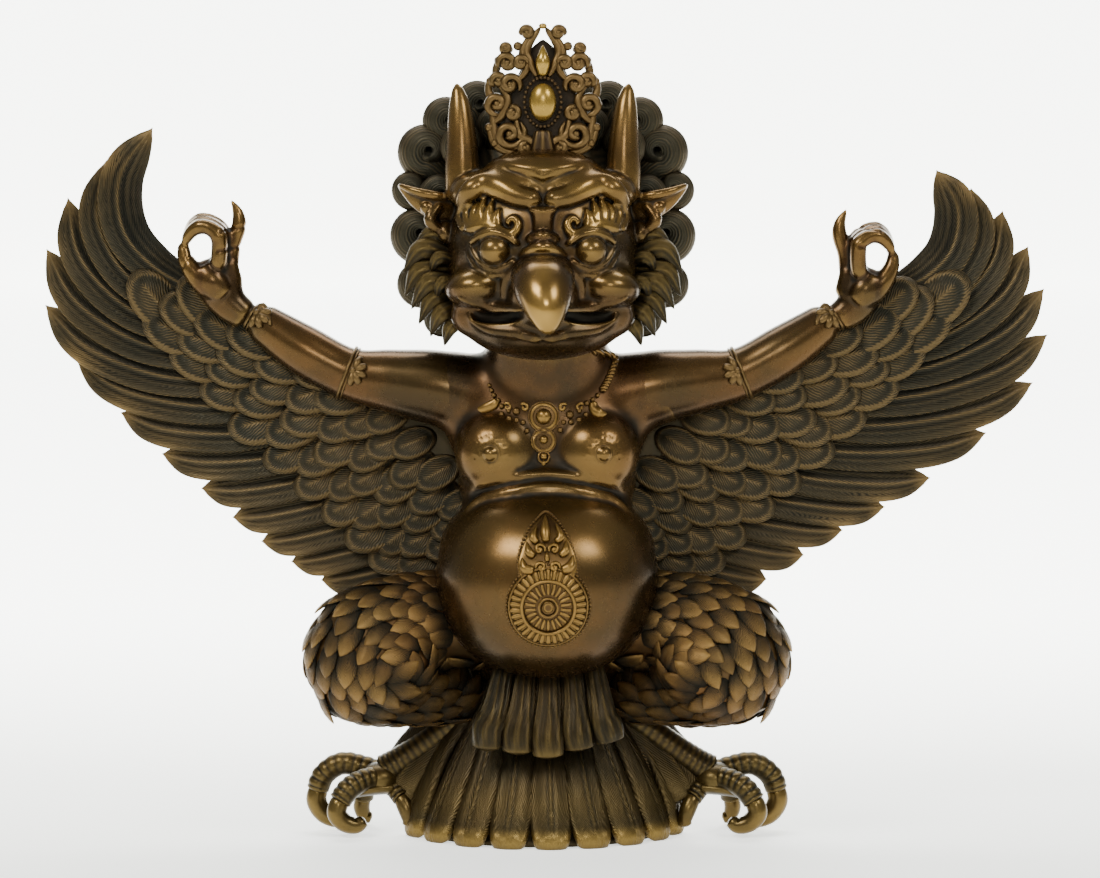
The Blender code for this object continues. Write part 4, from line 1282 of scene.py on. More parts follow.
def buildWing(name, side, tips, bendAmount):
    plane = wings["plane"]
    long = makePiece(name, flightForms(side, tips, bendAmount))
    short = covertForms(side, tips, wings["rows"], -1, plane - 0.85)
    back = covertForms(side, tips, wings["backRows"], 1, plane + 1.1)
    cover = makePiece("coverts", short + back)
    web = [(side * x, plane + 0.1, z) for x, z in wings["roots"]]
    flank = [(side * x, plane, z) for x, z in ((32, 58.6), (22, 53.4), (13, 47), (8, 36))]
    sheet = makePiece("web", [
        sweepForm(web, [2.0, 4.4, 5.4, 5.2, 4.4], [0.75, 0.85, 0.9, 1.0, 1.2], around=32, rings=30),
        sweepForm(flank, [1.4, 4.2, 5.4, 4.6], [0.8, 1.0, 1.2, 1.2], around=32, rings=30),
    ])
    coat(long, wingBronze, 4, 0.00030, tipPolish(long, side, tips))
    for piece, material, rounds in ((cover, covertBronze, 4), (sheet, webBronze, 3)):
        coords = toUnits(readCoords(piece))
        edge = np.hypot(coords[:, 0] / 62, (coords[:, 2] - 62) / 42)
        coat(piece, material, rounds, 0.00030, np.clip(edge - 0.86, 0, 0.4) * 0.9)
    return joined(name, [long, cover, sheet])


def tipPolish(piece, side, tips):
    # the last of each long feather is rubbed bright
    coords = toUnits(readCoords(piece))
    near = np.full(len(coords), 99.0)
    for i in range(wings["count"]):
        tip = flatPlace(tips, i / (wings["count"] - 1))
        near = np.minimum(near, np.hypot(coords[:, 0] - side * tip[0], coords[:, 2] - tip[1]))
    return 0.75 * np.exp(-(near / 1.5) ** 2) + 0.16 * np.exp(-(near / 5) ** 2)


def buildWings():
    return [buildWing("leftWing", -1, wings["leftTips"], wings["leftBend"]),
            buildWing("rightWing", 1, wings["rightTips"], wings["rightBend"])]


# legs: leaf feathers over the thigh and calf, ribbed shanks and claws

legs = {
    "thigh": [(5, 1.6, 26), (13, -1.6, 26.8), (20, -5.4, 26.4), (27.6, -8.0, 24.4)],
    "thighSizes": [5.9, 5.7, 5.4, 4.2],
    "calf": [(27.4, -8.2, 20.6), (22, -5.4, 19), (15.6, -1.8, 18.2), (8.0, 1.4, 16.6)],
    "calfSizes": [3.4, 4.2, 4.1, 2.7],
    "knee": ((21.4, -6.6, 22.9), (7.9, 5.4, 7.2)),
    "spacing": 2.05,
    "leafSize": 2.1,
}


def leafRib(t, a):
    across = np.abs(np.cos(a))
    return 0.07 * np.exp(-(across / 0.20) ** 2) - 0.03 * np.exp(-((across - 0.5) / 0.2) ** 2)


def leafShape():
    # one leaf feather with its tip at +Y, cupped, ribbed down the middle
    out, up = [-1.05, -0.35, 0.25, 0.80, 1.30], [-0.30, -0.06, 0.05, 0.07, 0.0]
    path = [(0, y, z) for y, z in zip(out, up)]
    widths, depths = [0.36, 0.60, 0.62, 0.44, 0.05], [0.12, 0.16, 0.15, 0.11, 0.05]
    verts, faces, uv = sweepForm(path, widths, depths, (0, 0, 1), 10, 7, 2.2, leafRib)
    shape = makePiece("leaf", [(verts - np.array([0, setForward, 0]), faces, uv)])
    ahead, across = (verts[:, 1] + 1.05) / 2.35, np.abs(verts[:, 0]) / 0.67
    under = verts[:, 2] < np.interp(verts[:, 1], out, up) - 0.02
    # the leaf is darker at its root and underside and lighter towards its tip; the light tip is rubbed metal
    # and a painted highlight
    relief = np.where(under, -0.9, -0.75 + 0.85 * ahead - 0.30 * across ** 2)
    store(shape, "relief", relief)
    store(shape, "polishAndHighlight", np.clip(0.26 * ahead + 0.10 * (1 - across), 0, 0.4))
    return shape


def turnTo(right, ahead, up):
    return list(Matrix([[right[i], ahead[i], up[i]] for i in range(3)]).to_euler())


def leafPlaces(core, side):
    # points spread evenly over the leg, each with the way its feather lies
    coords, normals = toUnits(readCoords(core)), readNormals(core)
    x = side * coords[:, 0]
    inside = (x > 7.5) & ((x > 12) | (coords[:, 2] < 22))
    coords, normals = coords[inside], normals[inside]
    x = x[inside]
    nearest = np.full(len(coords), 99.0)
    chosen = []
    current = int(np.argmax(x))
    for _ in range(600):
        chosen.append(current)
        nearest = np.minimum(nearest, np.linalg.norm(coords - coords[current], axis=1))
        room = np.where(nearest >= legs["spacing"], nearest, 99.0)
        current = int(np.argmin(room))
        if room[current] >= 99.0:
            break
    places, turns, sizes = [], [], []
    for k in chosen:
        place, normal = Vector(coords[k]), Vector(normals[k])
        away = np.array([x[k] - 19.0, coords[k][2] - 21.8])
        swirl = np.array([away[1], -away[0]]) / max(np.linalg.norm(away), 1e-6)
        flow = Vector((side * swirl[0] * 0.75 + side * 0.10, 0, swirl[1] * 0.75 - 0.55))
        flow = flow - normal * flow.dot(normal)
        if flow.length < 0.05:
            flow = Vector((0, 0, -1)) - normal * -normal.z
        flow.normalize()
        right = flow.cross(normal)
        turns.append(turnTo(right, flow, normal))
        places.append(place + normal * 0.12)
        sizes.append(0.92 + 0.16 * rng.random())
    return places, turns, sizes


def shankRibs(t, a):
    return 0.11 * np.abs(np.sin(math.pi * 20 * t)) ** 0.5 * np.clip(0.5 + np.sin(a), 0.2, 1)


def scuteRipple(rows):
    return lambda t, a: 0.16 * np.abs(np.sin(math.pi * rows * t)) ** 0.6 * np.clip(0.4 + np.sin(a), 0.15, 1)


def footForms(side):
    forms = [ballForm((side * 20.8, 0.8, 6.9), (2.6, 2.8, 2.0), around=36, rings=24)]
    toes = (
        ([(19.6, 1.0, 7.0), (22.6, 1.8, 8.0), (25.4, 2.2, 8.4), (27.6, 2.5, 7.0), (28.6, 2.6, 4.6)],
         1.35, 11),
        ([(20.2, 0.2, 6.6), (22.2, -1.2, 6.9), (24.2, -2.4, 6.0), (25.6, -3.0, 4.2)], 1.35, 9),
        ([(20.4, 1.2, 7.0), (19.0, 0.2, 5.8), (17.8, -0.8, 4.4)], 1.15, 6),
        ([(20, 1.4, 6.8), (21.6, 3.6, 6.8), (22.6, 5.6, 5.2), (23, 6.6, 3.2)], 1.25, 8),
    )
    claws = (
        ([(28.2, 2.6, 5.8), (28.6, 2.6, 3.8), (27.6, 2.5, 2.1), (25.8, 2.4, 1.4), (24.3, 2.4, 1.5)], 1.30),
        ([(25.2, -2.9, 5.0), (25.8, -3.1, 3.2), (24.9, -3.0, 1.9), (23.4, -2.8, 1.5), (22.4, -2.6, 2.3)],
         1.25),
        ([(18.2, -0.5, 5.0), (17.4, -1.1, 3.4), (17.0, -1.3, 2.0), (17.2, -1.4, 1.1)], 1.05),
        ([(22.8, 6.2, 4.2), (23.2, 6.7, 2.4), (22.8, 6.9, 1.2), (21.9, 6.9, 0.9)], 1.05),
    )
    for path, size, rows in toes:
        forms.append(sweepForm(flip(path, side), [size * 1.05] + [size] * (len(path) - 2) + [size * 0.98],
                               facing=(side * 0.3, -0.3, 1), around=30, rings=70, ripple=scuteRipple(rows)))
    smooth = []
    for path, size in claws:
        widths = size * np.interp(np.linspace(0, 1, len(path)), [0, 0.3, 0.75, 1], [0.9, 1, 0.8, 0.62])
        smooth.append(sweepForm(flip(path, side), widths, around=26, rings=44))
    web = [(18.6, 0.8, 5.8), (22.4, 0.4, 5.6), (25.6, 0.6, 4.8)]
    forms.append(sweepForm(flip(web, side), [2.0, 2.6, 1.4], [0.9, 0.9, 0.7], (side * 0.4, 0, 1), 36, 24))
    return forms, smooth


def buildLegs():
    return [buildLeg("leftLeg", -1), buildLeg("rightLeg", 1)]


def buildLeg(name, side):
    centre, radii = legs["knee"]
    core = melted("legCore", [
        sweepForm(flip(legs["thigh"], side), legs["thighSizes"], around=40, rings=36, blunt=1.5),
        sweepForm(flip(legs["calf"], side), legs["calfSizes"], around=36, rings=32, blunt=1.6),
        ballForm((side * centre[0], centre[1], centre[2]), radii),
    ], 0.0014, 8)
    places, turns, sizes = leafPlaces(core, side)
    coat(core, legBronze, 6, 0.0004)
    leaves = scattered("leaves", leafShape(), np.array(places), turns, sizes, legs["leafSize"], legBronze)
    grow, polishAndHighlight = readValues(leaves, "grow"), readValues(leaves, "polishAndHighlight")
    store(leaves, "polishAndHighlight", np.clip(polishAndHighlight * (1 + 7 * (grow - 1)), 0, 1))
    print(name, len(places), "leaf feathers")
    shank = [(7.4, 1.2, 17.6), (10.6, 1.1, 14.4), (14.3, 1, 11.6), (17.8, 0.9, 9.2), (20.6, 0.9, 7.4)]
    shank = sweepForm(flip(shank, side), [2.1, 1.75, 1.65, 1.7, 2.0], None, (0, -0.6, 1),
                      40, 120, 2.0, shankRibs)
    toes, claws = footForms(side)
    foot, nails = makePiece("foot", [shank] + toes), makePiece("nails", claws)
    coat(foot, scaleBronze, 5, 0.0004)
    coat(nails, clawBronze, 5, 0.0004, np.clip((4.5 - toUnits(readCoords(nails))[:, 2]) / 8, 0, 0.4))
    for piece in (foot, nails):
        flattenAtFloor(piece)
    return joined(name, [leaves, core, foot, nails])


# tail: a fan of long feathers to stand on, and five short ones over it

tail = {
    "name": "tail",
    "middle": (-0.6, 3.4),
    "wide": 15.7,
    "deep": 14.2,
    "count": 11,
    "short": 5,
    # the fan's outermost feathers hang clear of the floor beside the shanks
    "outer": ((18.3, 0.0, 4.4), (17.0, 0.4, 7.2), (13.2, 1.0, 12.2), (7.0, 1.4, 19.0)),
    # the others, from the lip on the floor up to the root: share of the fan's reach, height
    "profile": ((1.01, 0.0), (1.03, 1.0), (0.985, 2.3), (0.90, 4.6), (0.73, 9.8), (0.56, 15.6), (0.44, 21.5)),
}


def tailVane(t, a):
    # a rounded ridge with a shaft between two grooves, and faint barbs beside it
    across = np.cos(a)
    shaft = 0.10 * np.exp(-(across / 0.05) ** 2) - 0.13 * np.exp(-((np.abs(across) - 0.13) / 0.05) ** 2)
    barbs = 0.022 * np.sin(2 * np.pi * (np.abs(across) * 3.6 - t * 9)) * np.clip((0.84 - t) * 6, 0, 1)
    ends = 0.05 * np.cos(52 * across) * np.exp(-((t - 0.86) / 0.035) ** 2)
    return (shaft * np.clip((0.84 - t) * 5, 0, 1) + barbs + ends) * np.clip(t * 6, 0, 1)


def tailVaneUp(t, a):
    return tailVane(1 - t, a)


def shortVane(t, a):
    # uneven strands that run the whole length like loose hair
    across = np.cos(a)
    strands = 0.075 * np.cos(2 * np.pi * (across * 1.7 + 0.22 * np.sin(4.2 * t + 3 * across)))
    fine = 0.045 * np.cos(2 * np.pi * (across * 3.9 + 0.5 * np.sin(7 * t)))
    return (strands + fine) * np.clip((1 - t) * 5, 0, 1)


def longFeather(i):
    # one feather of the fan, from a thick rounded lip on the floor up to its root
    midX, midY = tail["middle"]
    turn = math.radians(-88.5 + 18.5 * i)
    across, ahead = math.sin(turn), math.cos(turn)
    if i in (0, tail["count"] - 1):
        out = math.copysign(1, across)
        path = [(midX + out * x, y, z) for x, y, z in tail["outer"]]
        return sweepForm(path, [2.6, 3.3, 3.2, 2.0], [1.0, 1.2, 1.2, 1.0], (out * 0.3, -1, 0.3),
                         72, 60, 2.6, tailVaneUp)
    swell = 0.17 * abs(across) ** 6
    wide, deep = across * tail["wide"], ahead * tail["deep"]
    path = [(midX + wide * (r + swell * math.sin(math.pi * z / 17)), midY - deep * r, z)
            for r, z in tail["profile"]]
    return sweepForm(path, [1.9, 2.25, 2.5, 2.6, 2.2, 1.6, 1.0], [1.15, 1.25, 1.3, 1.35, 1.2, 0.9, 0.6],
                     (across, -ahead, 0.42), 84, 74, 2.3, tailVaneUp)


def shortFeather(i):
    lean = (i - 2) / 2
    away = abs(lean)
    path = [(lean * 5.2 + 0.2, -5.4, 22.5), (lean * 6.4 + 0.1, -9.0, 16.6),
            (lean * 7.2 + 0.1, -10.7 + away, 13.4 + away),
            (lean * 7.5 + 0.2, -10.6 + away, 10.9 + 1.3 * away + 0.5 * lean)]
    return sweepForm(path, [1.3, 1.8, 2.05, 1.75], [1.1, 1.35, 1.35, 1.1], (lean * 0.3, -1, 0.2),
                     76, 60, 2.0, shortVane)


def buildTail():
    long = makePiece("tailLong", [longFeather(i) for i in range(tail["count"])])
    over = makePiece("tailShort", [shortFeather(i) for i in range(tail["short"])])
    body = skirtPiece()
    for piece in (long, over, body):
        flattenAtFloor(piece)
    for piece in (long, over):
        coat(piece, tailBronze, 16, 0.0008, tailPolish(toUnits(readCoords(piece))))
    coat(body, webBronze, 16, 0.0008)
    return joined(tail["name"], [long, over, body])


def tailPolish(coords):
    # the lip on the floor, the feathers just above it and the ends of the short ones
    midX, midY = tail["middle"]
    x, y, z = coords[:, 0], coords[:, 1], coords[:, 2]
    reach = np.hypot((x - midX) / tail["wide"], (y - midY) / tail["deep"])
    rim = np.exp(-((z - 1.0) / 1.1) ** 2) * np.clip((reach - 0.94) * 14, 0, 1) * 0.95
    warm = np.exp(-((z - 5.0) / 3.4) ** 2) * 0.22
    ends = np.exp(-((z - 11.4) / 0.8) ** 2) * 0.40 * (y < -8.6)
    return np.maximum.reduce([rim, warm, ends])


def skirtPiece():
    # the solid behind the feathers, with a plain back and underside
    midX, midY = tail["middle"]
    around, levels = 72, 30
    verts = []
    for i in range(levels):
        h = i / (levels - 1)
        size = (1 - 0.58 * h ** 0.85) * 0.97
        for j in range(around):
            a = 2 * math.pi * j / around
            flat = 0.22 if math.sin(a) > 0 else 1.0
            x, y = math.cos(a) * 15.4 * size, math.sin(a) * 13.9 * size * flat
            verts.append((midX + x, midY + y, 21.5 * h))
    faces = bandFaces(around, levels)
    faces.append(tuple(range(around - 1, -1, -1)))
    faces.append(tuple(range((levels - 1) * around, levels * around)))
    uv = np.array([(v[0] / 30, v[2] / 22) for v in verts])
    return makePiece("skirt", [(np.array(verts), faces, uv)])


# ornaments: belly wheel and flame, necklace, bracelets

def lieOn(tree, x, z, spin, proud=0.0):
    # a place on the front of a surface, and the turn that lays a shape there with its +Y
    # pointing spin radians from the viewer's right
    hit, normal, _, _ = tree.ray_cast(Vector((x, -60, z)), Vector((0, 1, 0)))
    ahead = Vector((math.cos(spin), 0, math.sin(spin)))
    ahead = (ahead - normal * ahead.dot(normal)).normalized()
    right = ahead.cross(normal)
    return hit + normal * proud, turnTo(right, ahead, normal)


def barShape(width, length, depth):
    # a rounded bar along Y
    path = [(0, -length, 0), (0, 0, 0.03), (0, length, 0)]
    verts, faces, uv = sweepForm(path, [width * 0.82, width, width], [depth] * 3, (0, 0, 1), 10, 5, 3.0)
    shape = makePiece("bar", [(verts - np.array([0, setForward, 0]), faces, uv)])
    high = np.clip(verts[:, 2] / depth, -1, 1)
    store(shape, "relief", np.clip(high * 1.1 - 0.35, -1, 0.7))
    store(shape, "polishAndHighlight", np.clip(high, 0, 1) * 0.25)
    return shape


def pins(name, tree, places, shape, material, proud):
    # places are (x, z, spin)
    points, turns = zip(*[lieOn(tree, x, z, spin, proud) for x, z, spin in places])
    return scattered(name, shape, np.array(points), turns, 1.0, 1.0, material)


def circlePlaces(centre, radius, count):
    angles = [2 * math.pi * (k + 0.5) / count for k in range(count)]
    return [(centre[0] + radius * math.cos(a), centre[1] + radius * math.sin(a), a) for a in angles]


def drapedRing(tree, centre, radius, wire, proud, around=96):
    # a ring that follows the surface
    a = np.linspace(0, 2 * np.pi, around, endpoint=False)
    flat = zip(centre[0] + radius * np.cos(a), centre[1] + radius * np.sin(a))
    path = np.array(drapedPath(tree, flat, proud))
    ahead = unitRows(np.roll(path, -1, axis=0) - np.roll(path, 1, axis=0))
    out = unitRows(np.cross(ahead, np.array([[0, -1.0, 0]])))
    return closedWire(path, out, unitRows(np.cross(out, ahead)), wire, 12)


def disc(tree, centre, radius, height, around=48, rings=10):
    # a low round button that follows the surface, flat on top, with a soft edge
    verts, faces = [], []
    for i in range(rings + 1):
        r = radius * i / rings
        rise = height * (1 - (i / rings) ** 8) + 0.02
        for j in range(around if i else 1):
            a = 2 * math.pi * j / around
            verts.append(onFront(tree, centre[0] + r * math.cos(a), centre[1] + r * math.sin(a), rise))
    for j in range(around):
        a = 2 * math.pi * j / around
        verts.append(onFront(tree, centre[0] + radius * math.cos(a), centre[1] + radius * math.sin(a), -0.5))
    verts.append(onFront(tree, centre[0], centre[1], -0.9))
    for j in range(around):
        k = (j + 1) % around
        faces.append((0, 1 + j, 1 + k))
        for i in range(rings):
            row = 1 + i * around
            faces.append((row + j, row + around + j, row + around + k, row + k))
        last = 1 + rings * around
        faces.append((last + k, last + j, len(verts) - 1))
    return np.array(verts, float), faces, np.zeros((len(verts), 2))


wheel = {
    "name": "bellyWheel",
    "middle": (0.15, 29.9),
    "outer": 4.85,
    "inner": 3.05,
    "bars": 34,
    "innerBars": 22,
    # flame above the wheel: spirals as right, up, radius, start, turn
    "spirals": [
        (-0.85, 4.65, 0.66, 200, -430), (0.75, 4.65, 0.66, -20, 430),
        (-1.0, 6.65, 0.70, -30, 430), (0.70, 6.65, 0.70, 210, -430),
    ],
    "leaves": [
        ((-1.6, 4.3), (-2.7, 4.5), (-3.05, 5.7), 0.62), ((1.5, 4.3), (2.5, 4.7), (2.9, 6.0), 0.62),
        ((-1.5, 5.9), (-2.2, 6.3), (-2.5, 7.5), 0.52), ((1.3, 5.9), (2.0, 6.5), (2.1, 7.7), 0.52),
        ((-1.2, 7.3), (-1.75, 8.0), (-1.35, 9.3), 0.50), ((0.8, 7.4), (1.45, 8.1), (0.85, 9.5), 0.50),
        ((-0.25, 7.4), (-0.35, 8.7), (-0.35, 10.3), 0.62), ((-0.1, 5.2), (-0.15, 5.8), (-0.2, 6.4), 0.34),
    ],
    "outline": [(-3.6, 3.6), (-3.85, 5.2), (-3.5, 7.0), (-2.6, 8.9), (-1.3, 10.3), (-0.35, 10.95),
                (0.7, 10.4), (1.9, 9.1), (2.9, 7.3), (3.5, 5.4), (3.6, 3.7)],
}


def buildBellyWheel():
    tree = surfaceOf(pieces["torso"])
    cx, cz = wheel["middle"]
    outer, inner = wheel["outer"], wheel["inner"]
    forms = [
        disc(tree, (cx, cz), outer + 0.15, 0.34, 72, 12),
        drapedRing(tree, (cx, cz), inner, 0.21, 0.60),
        drapedRing(tree, (cx, cz), outer - 0.30, 0.13, 0.42),
        drapedRing(tree, (cx, cz), 1.05, 0.16, 0.62, 48),
        drapedRing(tree, (cx, cz), 0.62, 0.10, 0.72, 36),
        disc(tree, (cx, cz), 0.95, 0.66, 32, 6),
    ]
    base = [(x * 0.93 + cx, z + cz) for x, z in wheel["outline"]]
    back = [(cx - 0.1, cz + 2.0), (cx - 0.1, cz + 5.0), (cx - 0.2, cz + 8.2), (cx - 0.3, cz + 10.6)]
    forms.append(sweepForm(drapedPath(tree, back, -0.1), [2.6, 3.5, 2.4, 0.3], [0.26, 0.28, 0.26, 0.2],
                           (0, -1, 0.25), 36, 34, 2.4))
    for x, z, radius, start, turn in wheel["spirals"]:
        flat = spiralPath((x + cx, 0, z + cz), radius, 0.12, start, turn, 12)
        path = drapedPath(tree, flat[:, ::2], 0.55)
        forms.append(sweepForm(path, [0.20, 0.24, 0.22, 0.18], [0.3] * 4, around=12, rings=44))
        forms.append(ballForm(onFront(tree, x + cx, z + cz, 0.6), (0.26, 0.28, 0.26), around=14, rings=9))
    for *points, size in wheel["leaves"]:
        path = drapedPath(tree, [(x + cx, z + cz) for x, z in points], 0.50)
        widths = [size * 0.75, size * 1.05, size * 0.12]
        forms.append(sweepForm(path, widths, [0.5, 0.66, 0.25], around=18, rings=20))
    raised = makePiece(wheel["name"], forms)
    coat(raised, goldBronze, 8, 0.00036, 0.04)
    bars = circlePlaces((cx, cz), (inner + outer - 0.30) / 2, wheel["bars"])
    bars = pins("wheelBars", tree, bars, barShape(0.31, (outer - inner) * 0.40, 0.26), goldBronze, 0.36)
    spokes = circlePlaces((cx, cz), (inner + 1.1) / 2 + 0.05, wheel["innerBars"])
    spokes = pins("wheelSpokes", tree, spokes, barShape(0.235, 0.74, 0.22), goldBronze, 0.36)
    rim = [(x, z) for x, z, _ in circlePlaces((cx, cz), outer + 0.12, 66)]
    rim += list(smoothLine(base, np.linspace(0, 1, 46)))
    beads = beadLine("wheelBeads", np.array(drapedPath(tree, rim, 0.12)), 0.20, goldBronze)
    return joined(wheel["name"], [raised, bars, spokes, beads])


necklace = {
    "name": "necklace",
    "middle": (-0.4, 52.0),
    # balls as right, up, radius, from the middle boss
    "beads": [
        (-2.05, -1.7, 0.36), (2.0, -1.6, 0.36), (-2.5, -0.7, 0.33), (2.4, -0.65, 0.33), (-3.3, -0.45, 0.36),
        (3.3, -0.65, 0.36), (-4.2, -0.25, 0.36), (4.3, -0.4, 0.36), (-5.1, 0.25, 0.33), (5.1, 0.2, 0.33),
        (-3.3, 0.65, 0.52), (3.15, 0.25, 0.52), (-4.25, 0.65, 0.30), (4.3, 0.7, 0.34), (-2.3, 0.9, 0.24),
        (2.2, 0.9, 0.24), (5.2, 1.6, 0.36), (5.9, 2.0, 0.33), (6.5, 2.5, 0.33), (-5.1, 1.2, 0.36),
        (-5.5, 1.9, 0.33), (-6.0, 2.5, 0.33), (-6.3, 3.1, 0.30), (-6.6, 3.7, 0.28),
    ],
    "leaves": [
        [(-5.6, 2.0), (-6.1, 1.3), (-7.2, 0.8), (-8.0, 0.9)],
        [(5.9, 1.8), (6.1, 0.8), (6.8, 0.2), (7.6, 0.2)],
    ],
    # rings as drop below the middle boss, radius, wire, how proud, points around
    "rings": [(0, 1.78, 0.11, 0.18, 60), (0, 1.30, 0.07, 0.20, 48), (2.9, 1.48, 0.10, 0.16, 52),
              (2.9, 0.98, 0.07, 0.18, 40), (4.9, 0.66, 0.14, 0.16, 32)],
    "cord": [(6.6, 54.9), (7.3, 56.1), (7.9, 57.4), (8.1, 58.9), (7.9, 60.2)],
}


def buildNecklace():
    tree = surfaceOf(pieces["torso"])
    cx, cz = necklace["middle"]
    forms = [
        disc(tree, (cx, cz), 1.85, 0.16, 48, 8),
        disc(tree, (cx, cz - 2.9), 1.55, 0.14, 44, 8),
        ballForm(onFront(tree, cx, cz, 0.25), (0.98, 0.90, 0.98), around=28, rings=18),
        ballForm(onFront(tree, cx, cz - 2.75, 0.25), (0.56, 0.6, 0.56), around=22, rings=14),
        ballForm(onFront(tree, cx, cz - 4.8, 0.1), (0.46, 0.45, 0.46), around=18, rings=12),
        ballForm(onFront(tree, cx, cz - 5.6), (0.28, 0.3, 0.34), around=14, rings=9),
    ]
    for down, radius, wire, proud, around in necklace["rings"]:
        forms.append(drapedRing(tree, (cx, cz - down), radius, wire, proud, around))
    for leaf in necklace["leaves"]:
        path = drapedPath(tree, [(x + cx, z + cz) for x, z in leaf], 0.22)
        forms.append(sweepForm(path, [0.42, 0.66, 0.6, 0.2], [0.35, 0.42, 0.38, 0.2], around=18, rings=22))
    for side in (-1, 1):
        for out, size in ((2.3, 0.30), (4.35, 0.26)):
            curl = spiralPath((cx + side * out, 0, cz + 1.1), 0.55, 0.12, 90 - side * 60, side * 380, 10)
            path = drapedPath(tree, curl[:, ::2], 0.2)
            forms.append(sweepForm(path, [size * 0.7] * 4, around=10, rings=30))
    raised = makePiece(necklace["name"], forms)
    coat(raised, goldBronze, 6, 0.0003, 0.10)
    beads = drapedPath(tree, [(x + cx, z + cz) for x, z, _ in necklace["beads"]], 0.12)
    sizes = [size for _, _, size in necklace["beads"]]
    strand = beadLine("strand", np.array(beads), sizes, goldBronze, 12, 8, 0.2)
    return joined(necklace["name"], [raised, strand, braid(tree)])


def braid(tree):
    # two strands that wind round each other up the side of the neck
    line = smoothLine(drapedPath(tree, necklace["cord"], 0.15), np.linspace(0, 1, 60))
    ahead = unitRows(np.gradient(line, axis=0))
    p = unitRows(np.cross(ahead, np.array([[0, -1.0, 0]])))
    q = np.cross(ahead, p)
    forms = []
    for start in (0, math.pi):
        a = np.linspace(0, 7.5 * 2 * math.pi, 60) + start
        path = line + 0.26 * (np.cos(a)[:, None] * p + np.sin(a)[:, None] * q)
        forms.append(sweepForm(path, [0.26] * 4, around=10, rings=130))
    piece = makePiece("braid", forms)
    coat(piece, skinBronze, 4, 0.0002)
    return piece


bracelets = {
    "name": "bracelets",
    # place on the arm line, wire radius, flower petals, reach of a petal
    "bands": [(0.605, 0.22, 5, 1.75), (0.972, 0.22, 5, 1.7)],
}


def buildBracelets():
    tree = surfaceOf(pieces["arms"])
    forms = []
    for side in (-1, rightReach):
        for share, wire, petals, reach in bracelets["bands"]:
            here, beyond = smoothLine(flip(arms["line"], side), np.array([share, share + 0.02]))
            ahead = (beyond - here) / np.linalg.norm(beyond - here)
            forms.append(bandForm(tree, here, ahead, wire))
            forms.append(bandForm(tree, here - ahead * 0.42, ahead, wire * 0.6))
            forms += flowerForms(tree, here - ahead * 0.9, ahead, petals, reach)
    piece = makePiece(bracelets["name"], forms)
    coat(piece, crownBronze, 5, 0.0003)
    return piece


def bandForm(tree, here, ahead, wire, around=72, thick=10):
    # a wire that hugs the arm
    centre = Vector(here)
    p = Vector(ahead).orthogonal().normalized()
    q = Vector(ahead).cross(p)
    path = []
    for a in np.linspace(0, 2 * np.pi, around, endpoint=False):
        spoke = p * math.cos(a) + q * math.sin(a)
        hit, _, _, _ = tree.ray_cast(centre + spoke * 8, -spoke)
        path.append(hit + spoke * wire * 0.5 if hit else centre + spoke * 3)
    path = np.array(path)
    out = unitRows(path - np.array(centre))
    return closedWire(path, out, np.broadcast_to(np.array(ahead), path.shape), wire, thick)


def flowerForms(tree, here, ahead, petals, reach):
    # a half flower that lies on the arm and opens towards the shoulder
    forms = []
    back = math.atan2(-ahead[2], -ahead[0])
    cx, cz = here[0] + 0.1, here[2] + 0.7
    for k in range(petals):
        spin = back + math.radians(-80 + 160 * k / (petals - 1))
        points = [(cx + math.cos(spin) * r, cz + math.sin(spin) * r) for r in (0.15, reach * 0.55, reach)]
        path = drapedPath(tree, points, 0.30)
        forms.append(sweepForm(path, [0.30, 0.52, 0.26], [0.30, 0.50, 0.26], around=16, rings=16))
    for r, size, count in ((0.0, 0.42, 1), (0.55, 0.26, 4)):
        for k in range(count):
            spin = back + math.radians(-70 + 47 * k)
            place = onFront(tree, cx + math.cos(spin) * r, cz + math.sin(spin) * r, 0.42)
            forms.append(ballForm(place, (size, size, size), around=14, rings=9))
    return forms


# assembly

pieces = {}
headSide = -0.5          # the head sits a little to the viewer's left of the middle
headPieces = ("head", "mane", "maneBack", "whiskers", "crown")
mostTriangles = {
    "torso": 80000, "arms": 56000, "head": 145000, "mane": 102000, "maneBack": 56000, "leftWing": 98000,
    "rightWing": 98000, "leftLeg": 56000, "rightLeg": 56000, "tail": 66000, "whiskers": 34000, "crown": 56000,
}


def keep(piece):
    if piece.name in headPieces:
        coords = readCoords(piece)
        coords[:, 0] += headSide * unit
        writeCoords(piece, coords)
    if piece.name in mostTriangles:
        thinned(piece, mostTriangles[piece.name])
    pieces[piece.name] = piece
    finishPiece(piece)


for make in (buildTorso, buildArms, buildHead, buildMane, buildManeBack, buildWhiskers, buildCrown,
             buildWings, buildLegs, buildTail, buildBellyWheel, buildNecklace, buildBracelets):
    made = make()
    for piece in (made if isinstance(made, list) else [made]):
        keep(piece)

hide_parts("winged_figure")


# camera, floor and light

studio = {
    "aim": (0.0013, 0.0215, 0.1759),
    "azimuth": 0.0,
    "elevation": 3.85,
    "distance": 1.800,
    "lens": 133.4,
    "floorColour": (0.95, 0.965, 0.92, 1),
    "glow": 5.0,
}


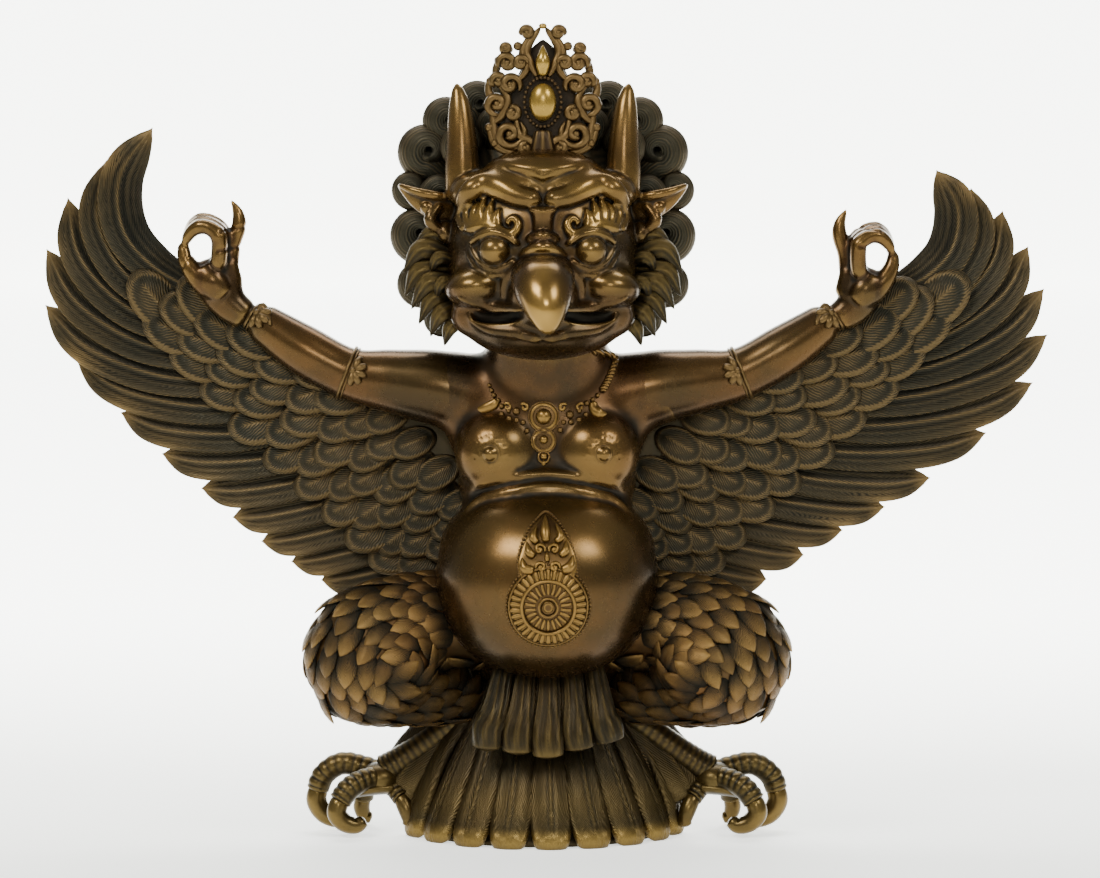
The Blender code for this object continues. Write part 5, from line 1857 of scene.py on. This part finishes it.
def buildStage():
    bpy.ops.mesh.primitive_plane_add(size=14, location=(0, 4.0, 0))
    floor = bpy.context.object
    floor.name = "floor"
    bm = bmesh.new()
    bm.from_mesh(floor.data)
    far = [e for e in bm.edges if all(v.co.y > 6 for v in e.verts)]
    grown = bmesh.ops.extrude_edge_only(bm, edges=far)
    for item in grown["geom"]:
        if isinstance(item, bmesh.types.BMVert):
            item.co.z += 8
    bevelled = [e for e in bm.edges if all(v.co.y > 6 and v.co.z < 0.01 for v in e.verts)]
    bmesh.ops.bevel(bm, geom=bevelled, offset=2.5, segments=16, profile=0.5, affect="EDGES")
    bm.to_mesh(floor.data)
    bm.free()
    floor.data.shade_smooth()
    paper = bpy.data.materials.new("paper")
    paper.use_nodes = True
    shader = paper.node_tree.nodes["Principled BSDF"]
    shader.inputs["Base Color"].default_value = studio["floorColour"]
    shader.inputs["Roughness"].default_value = 0.75
    shader.inputs["Emission Color"].default_value = studio["floorColour"]
    # the paper glows behind the figure and fades out in front of it
    tree = paper.node_tree
    place = node(tree, "ShaderNodeSeparateXYZ")
    tree.links.new(node(tree, "ShaderNodeNewGeometry").outputs["Position"], place.inputs[0])
    glow = mathNode(tree, "MULTIPLY_ADD", ramp(tree, place.outputs[1], -0.30, 1.0), studio["glow"], 0.45)
    tree.links.new(glow, shader.inputs["Emission Strength"])
    floor.data.materials.append(paper)


def addLamp(name, place, size, power, target=(0, 0, 0.18)):
    data = bpy.data.lights.new(name, "AREA")
    data.shape = "RECTANGLE"
    data.size, data.size_y = size
    data.energy = power
    lamp = bpy.data.objects.new(name, data)
    lamp.location = place
    lamp.rotation_euler = (Vector(target) - Vector(place)).to_track_quat("-Z", "Y").to_euler()
    bpy.context.scene.collection.objects.link(lamp)


def buildCamera():
    azimuth, elevation = math.radians(studio["azimuth"]), math.radians(studio["elevation"])
    level = math.cos(elevation)
    toward = Vector((math.sin(azimuth) * level, -math.cos(azimuth) * level, math.sin(elevation)))
    aim = Vector(studio["aim"])
    data = bpy.data.cameras.new("camera")
    data.lens = studio["lens"]
    data.sensor_width = 36
    camera = bpy.data.objects.new("camera", data)
    camera.location = aim + toward * studio["distance"]
    camera.rotation_euler = (aim - camera.location).to_track_quat("-Z", "Y").to_euler()
    bpy.context.scene.collection.objects.link(camera)
    bpy.context.scene.camera = camera


def buildLight():
    world = bpy.data.worlds.new("room")
    world.use_nodes = True
    world.node_tree.nodes["Background"].inputs["Color"].default_value = (0.95, 0.96, 0.90, 1)
    world.node_tree.nodes["Background"].inputs["Strength"].default_value = 0.50
    bpy.context.scene.world = world
    addLamp("topLeft", (-1.1, -1.3, 1.7), (0.9, 0.7), 38)
    addLamp("topRight", (1.2, -1.2, 1.5), (0.7, 0.6), 20)
    addLamp("front", (0.1, -2.4, 1.0), (0.5, 0.4), 14)
    addLamp("backdrop", (0, 1.2, 2.6), (2.6, 1.2), 85, target=(0, 2.0, 0))


buildStage()
buildCamera()
buildLight()
